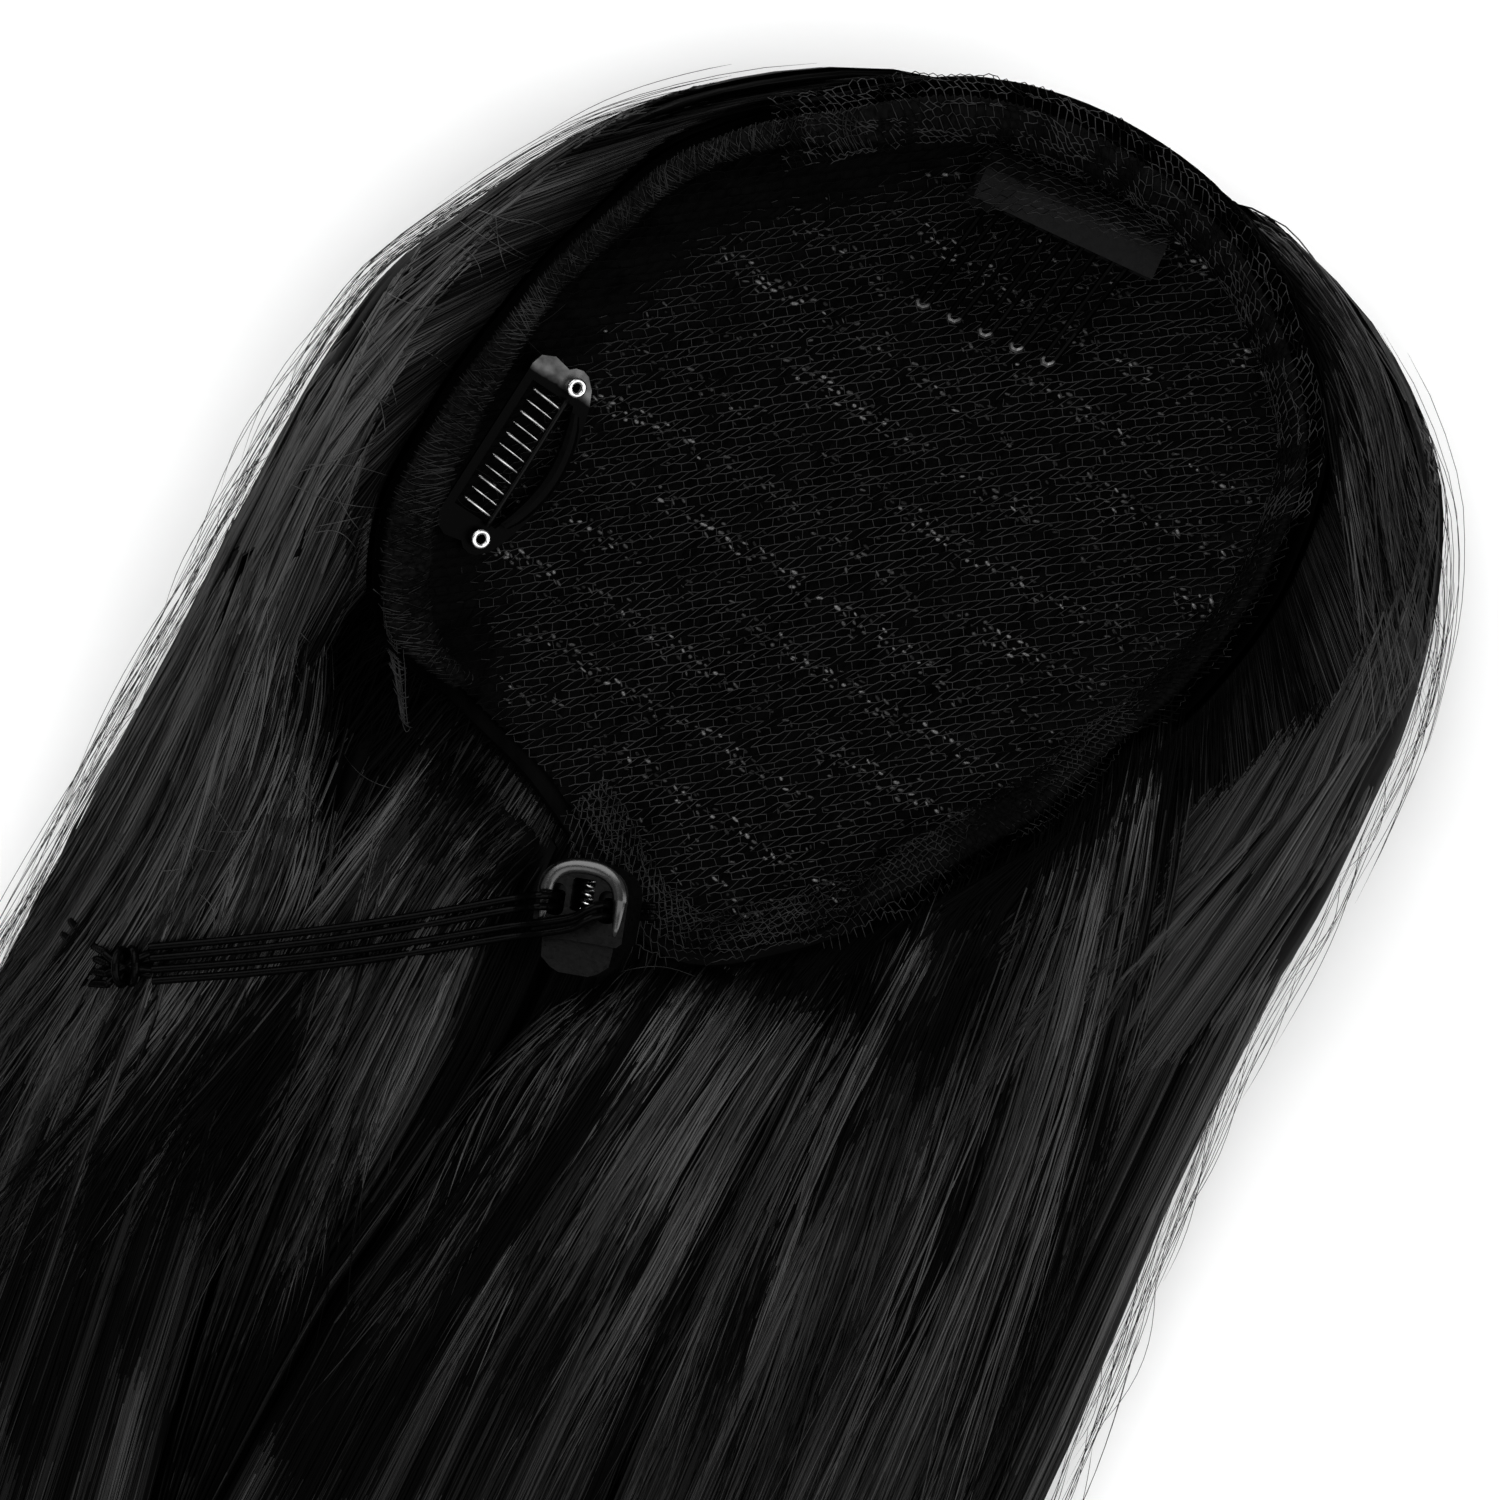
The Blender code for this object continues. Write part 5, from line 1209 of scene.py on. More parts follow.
# ----------------------------------------------------------------------- hair
def build_base(zone, y_top, y_end, name, replaced, seed, amp=1.15, ny=110, ns=34):
    """The mass of a lock under its loose strands."""
    span, height = ZONES[zone]
    y = np.linspace(y_top, y_end, ny)
    s = np.linspace(0, 1, ns) ** (1.15 if zone in ("left", "right") else 1.0)
    Yg, S = np.meshgrid(y, s, indexing="ij")
    a, b = span(Yg)
    X = a + (b - a) * S
    ridge = waves(seed, 7, (2, 11), 0.012)(S * 2.0, Yg)
    fade = np.minimum(smooth(0, 0.05, S), smooth(1, 0.95, S))
    end = smooth(y_end, y_end + 60, Yg)
    Z = np.maximum(height(Yg, S) * (0.35 + 0.65 * end) - 0.9 + amp * ridge * fade, 1.2)
    ins = np.sign(b - a) * 1.0
    X = X + ins * (0.5 - S) * 0.8 * (S > 0.5) - ins * 0.3 * (1 - S)
    pts = np.stack([X, Yg, Z], -1)
    low = pts.copy()
    low[..., 2] = 0.25
    n = ny * ns
    q = grid_quads(ny, ns)
    flat = np.concatenate([pts.reshape(-1, 3), low.reshape(-1, 3)])
    ring = ([(i, 0) for i in range(ny)] + [(ny - 1, j) for j in range(1, ns)]
            + [(i, ns - 1) for i in range(ny - 2, -1, -1)] + [(0, j) for j in range(ns - 2, 0, -1)])
    idx = np.array([i * ns + j for i, j in ring])
    nxt = np.roll(idx, -1)
    wall = np.stack([idx, idx + n, nxt + n, nxt], -1)
    obj = fast_mesh(name, flat, np.concatenate([q, q[:, ::-1] + n, wall]), np.zeros((0, 3), int), MAT["hair_base_painted_shade"])
    fix_normals(obj, 70)
    place(obj, ROOT, "hair", replaced)
    return obj


def side_strands(zone, name, count, seed, m=12):
    """Strands of a side roll: out from the rim, round the cap, down to the tips."""
    r = np.random.default_rng(seed)
    span, height = ZONES[zone]
    order = r.random(count) ** 0.85
    clump = waves(seed + 5, 6, (6, 30), 0.01)
    y0 = 67.5 - 112.0 * np.clip(order, 0, 1) ** 1.1
    st = np.clip(-0.03 + 0.99 * order + 0.02 * r.standard_normal(count), -0.035, 0.985)
    y_end = -352.0 + np.abs(r.standard_normal(count)) * 9.0 - 3.0
    t = np.linspace(0, 1, m) ** 1.35
    Y = y0[:, None] + (y_end - y0)[:, None] * t[None]
    reach = np.where(zone == "right", 7.0, 10.0) * r.uniform(0.8, 1.3, count)
    start_s = np.minimum(st + 0.62, 0.99)
    S = st[:, None] + (start_s - st)[:, None] * np.exp(-(y0[:, None] - Y) / reach[:, None])
    S = S + 0.012 * np.sin(Y * 0.02 + r.uniform(0, 6.28, count)[:, None]) + 0.008 * clump(S * 1.5, Y * 0.5)
    S = np.clip(S, -0.03, 0.992)
    a, b = span(Y)
    X = a + (b - a) * np.maximum(S, 0.0)
    H = height(Y, np.clip(S, 0, 1))
    ridge = waves(seed, 7, (2, 11), 0.012)(np.clip(S, 0, 1) * 2.0, Y)
    depth = r.uniform(-1.0, 0.55, count)[:, None]
    end = smooth(-356, -300, Y)
    Z = H * (0.4 + 0.6 * end) + 1.15 * ridge + depth * (0.6 + 0.4 * end)
    Z = np.where(S < 0, EDGE_H * (1 + S / 0.04), Z)
    Z = np.maximum(Z, 0.45)
    lift = 1.2 * np.exp(-(y0[:, None] - Y) / 6.0)
    Z = Z + lift * (S > 0.1)
    P = np.stack([X, Y, Z], -1)
    width = 0.15 + 0.30 * r.random(count) ** 1.6
    tone = tones(r, waves(seed + 9, 6, (4, 18), 0.0)(st, 0 * st), 0.8)
    obj = strands(name, P, width, width * r.uniform(0.4, 0.7, count), tone)
    place(obj, ROOT, "hair")
    return obj


def _low_rim_y(x):
    o = np.argsort(RX[(_low + np.arange(-70, 71)) % 360])
    ids = (_low + np.arange(-70, 71)) % 360
    return np.interp(x, RX[ids][o], RY[ids][o])


def fall_strands(zone, name, count, seed, y_end, sweep, m=12):
    """Strands that come out from under the cap's lower rim."""
    r = np.random.default_rng(seed)
    span, height = ZONES[zone]
    st = r.uniform(0.0, 1.0, count)
    # where each one starts, across the rim
    x0 = sweep[0] + (sweep[1] - sweep[0]) * np.clip(st + 0.06 * r.standard_normal(count), 0, 1)
    y0 = _low_rim_y(x0) + r.uniform(2.0, 7.0, count)
    ye = y_end + np.abs(r.standard_normal(count)) * 8.0
    t = np.linspace(0, 1, m) ** 1.6
    Y = y0[:, None] + (ye - y0)[:, None] * t[None]
    gone = y0[:, None] - Y
    clump = waves(seed + 5, 6, (5, 22), 0.01)
    S = np.clip(st[:, None] + 0.014 * np.sin(Y * 0.018 + r.uniform(0, 6.28, count)[:, None])
                + 0.010 * clump(st[:, None] * 1.5, Y * 0.5), 0.004, 0.996)
    a, b = span(np.minimum(Y, -76.5) if zone == "centre" else np.minimum(Y, -69.5))
    X = a + (b - a) * S
    mix = 1 - np.exp(-(gone / sweep[2]) ** 1.4)
    X = x0[:, None] + (X - x0[:, None]) * mix
    ridge = waves(seed, 7, (2, 11), 0.012)(S * 2.0, Y)
    H = height(Y, S)
    end = smooth(y_end, y_end + 60, Y)
    out = H * (0.4 + 0.6 * end) + 1.15 * ridge + r.uniform(-1.0, 0.5, count)[:, None]
    low = bowl_z(x0, y0)[:, None] - 4.2
    Z = np.maximum(low + (out - low) * smooth(2.0, 26.0, gone), 0.5)
    P = np.stack([X, Y, Z], -1)
    width = 0.15 + 0.30 * r.random(count) ** 1.6
    tone = tones(r, waves(seed + 9, 6, (3, 12), 0.0)(st, 0 * st), 1.0)
    obj = strands(name, P, width, width * r.uniform(0.4, 0.7, count), tone)
    place(obj, ROOT, "hair")
    return obj


def build_under():
    """Hair packed between cap and surface, and the wrap seen behind the cap."""
    n_a, n_z = 140, 12
    ang = np.linspace(0, 360, n_a, endpoint=False)
    rows = []
    for k in range(n_z):
        t = k / (n_z - 1)
        r = rim_r(ang) + 1.6 + 1.0 * math.sin(math.pi * t) + 1.3 * smooth(58, 70, ang) * smooth(112, 96, ang)
        z = 0.25 + (rim_z(ang) - 1.2) * t
        rr = np.radians(ang)
        r = r * (0.93 + 0.07 * smooth(0, 0.35, t))
        rows.append(np.stack([CAP_CENTRE[0] + r * np.cos(rr), CAP_CENTRE[1] + r * np.sin(rr), z], -1))
    # inner wall, just outside the bowl
    for rho in (0.985, 0.93, 0.8, 0.5, 0.2):
        rr = np.radians(ang)
        x = CAP_CENTRE[0] + rim_r(ang) * rho * np.cos(rr)
        y = CAP_CENTRE[1] + rim_r(ang) * rho * np.sin(rr)
        rows.append(np.stack([x, y, bowl_z(x, y) - 1.9], -1))
    rows = np.array(rows)
    n = rows.shape[0]
    flat = rows.reshape(-1, 3)
    quads = grid_quads(n, n_a, closed_cols=True)
    flat = np.concatenate([flat, [[CAP_CENTRE[0], CAP_CENTRE[1], 0.25], [CAP_CENTRE[0], CAP_CENTRE[1], CAP_FLOOR_Z - 1.9]]])
    tris = []
    for i in range(n_a):
        j = (i + 1) % n_a
        tris.append((len(flat) - 2, j, i))
        tris.append((len(flat) - 1, (n - 1) * n_a + i, (n - 1) * n_a + j))
    obj = fast_mesh("hair_under_mass", flat, quads, np.array(tris), MAT["hair_base_painted_shade"])
    fix_normals(obj, 60)
    place(obj, ROOT, "hair", "hair_under")
    # strands over the back, from the rim down and round to each side
    r = np.random.default_rng(41)
    count, m = 700, 11
    a0 = r.uniform(52, 118, count)
    turn = np.where(a0 > 85, 1, -1) * r.uniform(6, 42, count)
    t = np.linspace(0, 1, m)
    A = a0[:, None] + turn[:, None] * t[None] ** 1.3
    down = r.uniform(0.25, 1.0, count)[:, None] * t[None] ** 0.8
    R = rim_r(A) + 2.3 + r.uniform(0.1, 1.2, count)[:, None] * np.sin(np.pi * np.clip(down, 0, 1)) + r.uniform(-0.3, 0.4, count)[:, None]
    Zt = rim_z(A) - 0.6
    Z = np.maximum(Zt * (1 - down), 0.6)
    rr = np.radians(A)
    P = np.stack([CAP_CENTRE[0] + R * np.cos(rr), CAP_CENTRE[1] + R * np.sin(rr), Z], -1)
    width = r.uniform(0.3, 0.7, count)
    obj = strands("hair_back_wrap", P, width, width * 0.5, 0.5 * r.standard_normal(count) - 0.5, 0.05, 0.1)
    place(obj, ROOT, "hair")


def build_floor_layer():
    """The lowest hair, in painted deep shade, seen as black at the bottom of the partings."""
    ny, nx = 90, 30
    y = np.linspace(-30, -349, ny)
    Yg, S = np.meshgrid(y, np.linspace(0, 1, nx), indexing="ij")
    a, b = at_y(EDGE_L, Yg) + 4.0, at_y(EDGE_R, Yg) - 4.0
    X = a + (b - a) * S
    Z = 1.0 + 5.5 * np.minimum(smooth(0, 0.1, S), smooth(1, 0.9, S)) * smooth(-349, -300, Yg) + 0.5 * np.sin(X * 1.1 + 0.02 * Yg)
    top = np.stack([X, Yg, Z], -1).reshape(-1, 3)
    low = top.copy()
    low[:, 2] = 0.35
    n = ny * nx
    q = grid_quads(ny, nx)
    ring = ([(i, 0) for i in range(ny)] + [(ny - 1, j) for j in range(1, nx)]
            + [(i, nx - 1) for i in range(ny - 2, -1, -1)] + [(0, j) for j in range(nx - 2, 0, -1)])
    idx = np.array([i * nx + j for i, j in ring])
    nxt = np.roll(idx, -1)
    obj = fast_mesh("hair_low_mass", np.concatenate([top, low]),
                    np.concatenate([q, q[:, ::-1] + n, np.stack([idx, idx + n, nxt + n, nxt], -1)]),
                    np.zeros((0, 3), int), MAT["hair_base_painted_shade"])
    fix_normals(obj, 70)
    place(obj, ROOT, "hair")


def build_hollow():
    """Hair low between the left lock and the cap, under the casing's loose end, darkened with painted deep shade."""
    ny, nx = 46, 46
    y = np.linspace(-36, -92, ny)
    Yg, S = np.meshgrid(y, np.linspace(0, 1, nx), indexing="ij")
    X = -84 + (84 - 26) * S
    edge = np.minimum(np.minimum(smooth(0, 0.12, S), smooth(1, 0.88, S)), np.minimum(smooth(-36, -42, Yg), smooth(-92, -84, Yg)))
    Z = 1.0 + edge * (8.5 + 0.8 * np.sin(X * 0.9 + Yg * 0.25) + 0.5 * np.sin(X * 1.9 - Yg * 0.1))
    top = np.stack([X, Yg, Z], -1).reshape(-1, 3)
    low = top.copy()
    low[:, 2] = 0.3
    n = ny * nx
    q = grid_quads(ny, nx)
    ring = ([(i, 0) for i in range(ny)] + [(ny - 1, j) for j in range(1, nx)]
            + [(i, nx - 1) for i in range(ny - 2, -1, -1)] + [(0, j) for j in range(nx - 2, 0, -1)])
    idx = np.array([i * nx + j for i, j in ring])
    nxt = np.roll(idx, -1)
    obj = fast_mesh("hair_hollow_mass", np.concatenate([top, low]),
                    np.concatenate([q, q[:, ::-1] + n, np.stack([idx, idx + n, nxt + n, nxt], -1)]),
                    np.zeros((0, 3), int), MAT["hair_base_painted_shade"])
    fix_normals(obj, 70)
    place(obj, ROOT, "hair")
    # strands that come down from under the rim into it
    r = np.random.default_rng(91)
    count, m = 420, 10
    a0 = r.uniform(196, 236, count)
    rr = np.radians(a0)
    x0 = CAP_CENTRE[0] + (rim_r(a0) + 1.2) * np.cos(rr)
    y0 = CAP_CENTRE[1] + (rim_r(a0) + 1.2) * np.sin(rr)
    t = np.linspace(0, 1, m)
    x1 = x0 - r.uniform(-2, 16, count)
    y1 = y0 - r.uniform(22, 60, count)
    X = x0[:, None] + (x1 - x0)[:, None] * np.sin(t * 1.5)[None] ** 0.9
    Y = y0[:, None] + (y1 - y0)[:, None] * t[None] ** 1.2
    z0 = rim_z(a0) - 3.0 - r.uniform(0, 7, count)
    Z = 9.0 + r.uniform(0, 3.0, count)[:, None] + (z0 - 9.0)[:, None] * np.exp(-t * 3.2)[None]
    width = 0.16 + 0.3 * r.random(count)
    obj = strands("hair_hollow_strands", np.stack([X, Y, Z], -1), width, width * 0.55, 0.5 * r.standard_normal(count) + 0.2, 0.05, 0.15)
    place(obj, ROOT, "hair")


def flyaways():
    """Fine single hairs standing off the outline."""
    r = np.random.default_rng(77)
    count, m = 300, 12
    left = r.random(count) < 0.68
    y0 = r.uniform(-150, 64, count)
    length = r.uniform(18, 70, count)
    t = np.linspace(0, 1, m)
    Y = y0[:, None] - length[:, None] * t[None] * r.uniform(0.75, 1.0, count)[:, None]
    a = np.where(left[:, None], at_y(EDGE_L, Y), at_y(EDGE_R, Y))
    sgn = np.where(left, -1.0, 1.0)[:, None]
    off = r.uniform(-1.5, 1.6, count)[:, None] + r.uniform(0.3, 3.4, count)[:, None] * np.sin(np.pi * t[None] * r.uniform(0.5, 1.1, count)[:, None])
    X = a + sgn * off
    Z = np.maximum(r.uniform(1, 26, count)[:, None] + 2 * np.sin(3 * t[None] + r.uniform(0, 6, count)[:, None]), 0.6)
    Z = np.where(off < 0, np.maximum(Z, 6), Z)
    P = np.stack([X, Y, Z], -1)
    obj = strands("hair_flyaways", P, np.full(count, 0.10), np.full(count, 0.09), 0.2, 0.02, 0.3)
    place(obj, ROOT, "hair")


def seen(px, py):
    """Where a place in the front picture, in its own 1500 wide pixels, lies on the model in mm."""
    return np.array([((px - 870) * 0.907 + (py - 520) * 0.42) / 6.34, ((px - 870) * 0.42 - (py - 520) * 0.907) / 6.34])


SWEEPS = [
    # name, start from-to, middle from-to, end from-to, count, tone, lift
    ("inner", (436, 690, 538, 850), (300, 905, 425, 1000), (40, 1190, 318, 1335), 620, 0.15, 0.9),
    ("left_top", (262, 480, 338, 600), (95, 800, 300, 830), (-130, 1090, 120, 1160), 560, 0.15, 0.5),
    ("left_low", (300, 690, 330, 800), (195, 950, 262, 1000), (-60, 1250, 110, 1310), 340, 0.0, 0.7),
    ("centre_left", (640, 962, 900, 925), (520, 1115, 770, 1130), (325, 1400, 600, 1460), 760, 0.15, 0.9),
    ("centre_right", (880, 925, 1045, 835), (765, 1140, 935, 1100), (600, 1500, 800, 1560), 560, 0.0, 0.9),
    ("wisp", (596, 992, 655, 978), (500, 1065, 560, 1085), (395, 1230, 452, 1300), 130, 0.75, 1.5),
    ("right_in", (1050, 800, 1185, 690), (975, 1050, 1125, 1000), (775, 1520, 980, 1540), 480, 0.0, 0.8),
    ("right_top", (1222, 222, 1268, 318), (1330, 310, 1326, 430), (1420, 560, 1368, 700), 380, 0.2, 0.7),
]


def sweep_strands():
    """Locks that cross the main fall at a slant, as they come from under the cap."""
    for k, (name, a, b, c, count, tone, lift) in enumerate(SWEEPS):
        r = np.random.default_rng(200 + k)
        m = 12
        q = np.clip(r.random(count) + 0.02 * r.standard_normal(count), -0.03, 1.03)
        ends = [np.array([seen(e[0] + (e[2] - e[0]) * v, e[1] + (e[3] - e[1]) * v) for v in q]) for e in (a, b, c)]
        p0, p1, p2 = ends
        p0 = p0 + r.normal(0, 1.6, (count, 2))
        p1 = p1 + r.normal(0, 1.3, (count, 2))
        p2 = p2 + r.normal(0, 2.6, (count, 2))
        t = (np.linspace(0, 1, m)[None] * r.uniform(0.72, 1.0, count)[:, None] + r.uniform(0.0, 0.10, count)[:, None])[..., None]
        ctrl = 2 * p1 - 0.5 * (p0 + p2)
        xy = (1 - t) ** 2 * p0[:, None] + 2 * t * (1 - t) * ctrl[:, None] + t ** 2 * p2[:, None]
        xy = xy + (0.45 * np.sin(9 * t + 4 * q[:, None, None] + k))
        xy[..., 0] = np.clip(xy[..., 0], at_y(EDGE_L, xy[..., 1]) - 0.6, at_y(EDGE_R, xy[..., 1]) + 0.6)
        z = np.array([[hair_top(px, py) for px, py in row] for row in xy])
        pad = np.pad(z, ((0, 0), (2, 2)), mode="edge")
        z = np.maximum.reduce([pad[:, i:i + m] for i in range(1, 4)])
        pad = np.pad(z, ((0, 0), (2, 2)), mode="edge")
        z = sum(pad[:, i:i + m] for i in range(5)) / 5
        rho, ang = rho_of(xy[..., 0], xy[..., 1])
        tt = t[..., 0]
        root = smooth(0.22, 0.0, tt)
        z = z + lift * r.uniform(0.2, 1.0, count)[:, None] * np.sin(np.pi * np.clip(tt * 1.1, 0, 1)) - 5.0 * root
        wave = waves(300 + k, 5, (2, 7), 0.01)(np.repeat(q[:, None], m, 1), xy[..., 1])
        z = np.maximum(z + 1.2 * wave * (1 - root), 1.0)
        width = 0.15 + 0.26 * r.random(count) ** 1.6
        v = tone - 0.1 + tones(r, waves(400 + k, 6, (2.5, 11), 0.0)(q, 0 * q), 1.75)
        obj = strands("hair_sweep_" + name, np.concatenate([xy, z[..., None]], -1), width, width * 0.55, v, 0.08, 0.25)
        place(obj, ROOT, "hair")


def stray_hairs():
    """Single stray hairs and net ends lying over the cap and the locks."""
    r = np.random.default_rng(101)
    ends = [
        # x0, y0, x1, y1, bow
        (-55.5, -60.5, -44.0, -51.5, 1.2), (-42.0, -53.0, -33.0, -53.6, 0.6), (-6.0, -81.5, 6.0, -77.0, 1.4),
        (-66.0, 0.5, -57.0, 11.0, -1.6), (-68.5, 4.0, -58.5, 16.5, 1.8), (-73.0, -12.0, -66.0, 2.0, 1.2),
        (-82.0, -30.0, -70.0, -26.0, 0.8), (-83.0, -33.5, -69.0, -31.0, -0.9), (-20.0, -60.0, -13.5, -44.0, 1.0),
        (-12.5, -74.0, -2.0, -66.0, 1.5), (-60.5, -68.0, -50.0, -70.0, -1.2), (20.0, -58.0, 33.0, -47.0, 1.0),
    ]
    for _ in range(46):
        x, y = r.uniform(-90, -62), r.uniform(-100, 20)
        a = r.uniform(-0.9, 0.9)
        ln = r.uniform(6, 16)
        ends.append((x, y, x + ln * math.cos(a), y + ln * math.sin(a), r.uniform(-2, 2)))
    paths = []
    for x0, y0, x1, y1, bow in ends:
        t = np.linspace(0, 1, 12)
        x = x0 + (x1 - x0) * t
        y = y0 + (y1 - y0) * t
        ln = math.hypot(x1 - x0, y1 - y0)
        x, y = x - (y1 - y0) / ln * bow * np.sin(np.pi * t), y + (x1 - x0) / ln * bow * np.sin(np.pi * t)
        z = np.array([max(hair_top(px, py), float(bowl_z(px, py)) if float(rho_of(px, py)[0]) < 1 else 0.0) for px, py in zip(x, y)])
        z = np.convolve(np.pad(z, 2, mode="edge"), np.ones(5) / 5, "valid") + 1.6 + 0.6 * np.sin(3 * t)
        paths.append(np.stack([x, y, np.maximum(z, 2.0)], -1))
    paths = np.array(paths)
    n = len(paths)
    obj = strands("hair_stray", paths, np.full(n, 0.13), np.full(n, 0.11), 1.1, 0.02, 0.1)
    place(obj, ROOT, "hair")


def build_hair():
    build_under()
    build_floor_layer()
    build_hollow()
    build_base("left", 69.2, -352, "hair_left_mass", "hair_left", 21)
    build_base("right", 69.2, -352, "hair_right_mass", "hair_right", 31)
    build_base("centre", -76.0, -352, "hair_center_mass", "hair_center", 51, ny=90)
    build_base("inner", -45.6, -209, "hair_inner_mass", "hair_inner_left", 61, ny=60, ns=30)
    side_strands("left", "hair_left_strands", 2250, 21)
    side_strands("right", "hair_right_strands", 2200, 31)
    fall_strands("centre", "hair_center_strands", 1900, 51, -352, (-14, 36, 20))
    fall_strands("inner", "hair_inner_strands", 850, 61, -208, (-50, -19, 22))
    sweep_strands()
    flyaways()
    stray_hairs()


# --------------------------------------------------------------------- cords
def lock_frame():
    turn = Matrix.Rotation(math.radians(LOCK_TURN), 3, "Z")
    y = turn @ Vector((0.42, -0.907, 0.0)).normalized()
    across = turn @ Vector((0.907, 0.42, 0.0)).normalized()
    tilt = math.radians(16.0)
    z = Vector((0, 0, 1)) * math.cos(tilt) - across * math.sin(tilt)
    x = y.cross(z).normalized()
    m = Matrix.Identity(4)
    for row in range(3):
        m[row][0], m[row][1], m[row][2], m[row][3] = x[row], y[row], z[row], LOCK_AT[row]
    return m


def smooth_route(points, count):
    pts = [Vector(p) for p in points]
    ext = [2 * pts[0] - pts[1]] + pts + [2 * pts[-1] - pts[-2]]
    dense = []
    for k in range(1, len(ext) - 2):
        p0, p1, p2, p3 = ext[k - 1:k + 3]
        t1 = max((p1 - p0).length, 1e-6) ** 0.5
        t2 = max((p2 - p1).length, 1e-6) ** 0.5
        t3 = max((p3 - p2).length, 1e-6) ** 0.5
        m1 = ((p1 - p0) / t1 - (p2 - p0) / (t1 + t2) + (p2 - p1) / t2) * t2
        m2 = ((p2 - p1) / t2 - (p3 - p1) / (t2 + t3) + (p3 - p2) / t3) * t2
        for i in range(24):
            t = i / 24
            dense.append((2 * t**3 - 3 * t**2 + 1) * p1 + (t**3 - 2 * t**2 + t) * m1
                         + (-2 * t**3 + 3 * t**2) * p2 + (t**3 - t**2) * m2)
    dense.append(pts[-1])
    run = [0.0]
    for a, b in zip(dense, dense[1:]):
        run.append(run[-1] + (b - a).length)
    out = []
    for i in range(count):
        s = run[-1] * i / (count - 1)
        k = max(0, min(len(run) - 2, int(np.searchsorted(run, s, side="right")) - 1))
        t = (s - run[k]) / max(run[k + 1] - run[k], 1e-9)
        out.append(dense[k].lerp(dense[k + 1], t))
    return out


DIRECTION = Vector((-0.86, -0.51, 0.0)).normalized()
SIDEWAYS = Vector((DIRECTION.y, -DIRECTION.x, 0.0))


def cord_routes(f):
    knot_z = hair_top(*KNOT_AT) + 0.6 + KNOT_D * 0.42
    knot = Vector((KNOT_AT[0], KNOT_AT[1], knot_z))
    lock_y = (f.to_3x3() @ Vector((0, 1, 0))).normalized()
    over = LOCK_T / 2 + CORD_D / 2 + 0.5
    routes = []

    def at(v):
        return f @ Vector((-v.x, v.y, v.z))

    pairs = [("upper", -1, 0.0, 1.3, 1.75), ("lower", 1, 4.1, 5.7, -1.75)]
    for name, side, pass_y, leave_y, at_knot in pairs:
        hole = Vector((side * LOCK_HOLE_X, LOCK_HOLE_Y, 0.0))
        ctrl = [hole + Vector(v) for v in (
            (5.2, -0.7, -LOCK_T / 2 - 1.5), (1.9, -0.3, -LOCK_T / 2 - 1.3),
            (0.1, 0.0, -LOCK_T / 2 + 0.5), (0.0, 0.0, LOCK_T / 2 - 0.6),
            (-0.45, 0.0, LOCK_T / 2 + 1.1), (-1.8, 0.2 if side < 0 else 0.7, over + 1.4))]
        if side > 0:
            ctrl.append(Vector((0.0, LOCK_HOLE_Y + 2.5, over + 1.1)))
            ctrl.append(Vector((-LOCK_HOLE_X - 0.4, LOCK_HOLE_Y + pass_y, over + 0.6)))
        pts = [at(v) for v in ctrl]
        leave = at(Vector((-10.5, LOCK_HOLE_Y + leave_y, over - 0.2)))
        pts.append(leave)
        end = knot - DIRECTION * (KNOT_D * 0.42 + 0.9) + SIDEWAYS * at_knot
        end.z = knot.z - 0.3
        for t in (0.25, 0.5, 0.75):
            p = leave.lerp(end, t)
            p += SIDEWAYS * (-0.9 * math.sin(math.pi * t))
            top = max(hair_top(p.x + dx, p.y + dy) for dx in (-2, 0, 2) for dy in (-2, 0, 2))
            p.z = max(top + CORD_D / 2 + 0.7, p.z - 0.8 * math.sin(math.pi * t))
            pts.append(p)
        pts.append(end)
        fine = smooth_route(pts, 161)
        for strand, off in (("1", -0.87), ("2", 0.87)):
            line = []
            for i, p in enumerate(fine):
                q = i / 160
                mix = float(smooth(0.4, 0.9, q))
                lateral = (lock_y * (1 - mix) - SIDEWAYS * mix).normalized()
                line.append(p + lateral * off)
            routes.append(("cord_%s_%s" % (name, strand), line))
    return routes, knot


def frames_along(path):
    """Rotation-minimising side and up vectors along a path of Vectors."""
    t = [(path[min(i + 1, len(path) - 1)] - path[max(i - 1, 0)]).normalized() for i in range(len(path))]
    up = Vector((0, 0, 1)) if abs(t[0].z) < 0.9 else Vector((1, 0, 0))
    side = t[0].cross(up).normalized()
    out = []
    for i in range(len(path)):
        side = (side - t[i] * side.dot(t[i])).normalized()
        out.append((side.copy(), t[i].cross(side).normalized()))
    return out


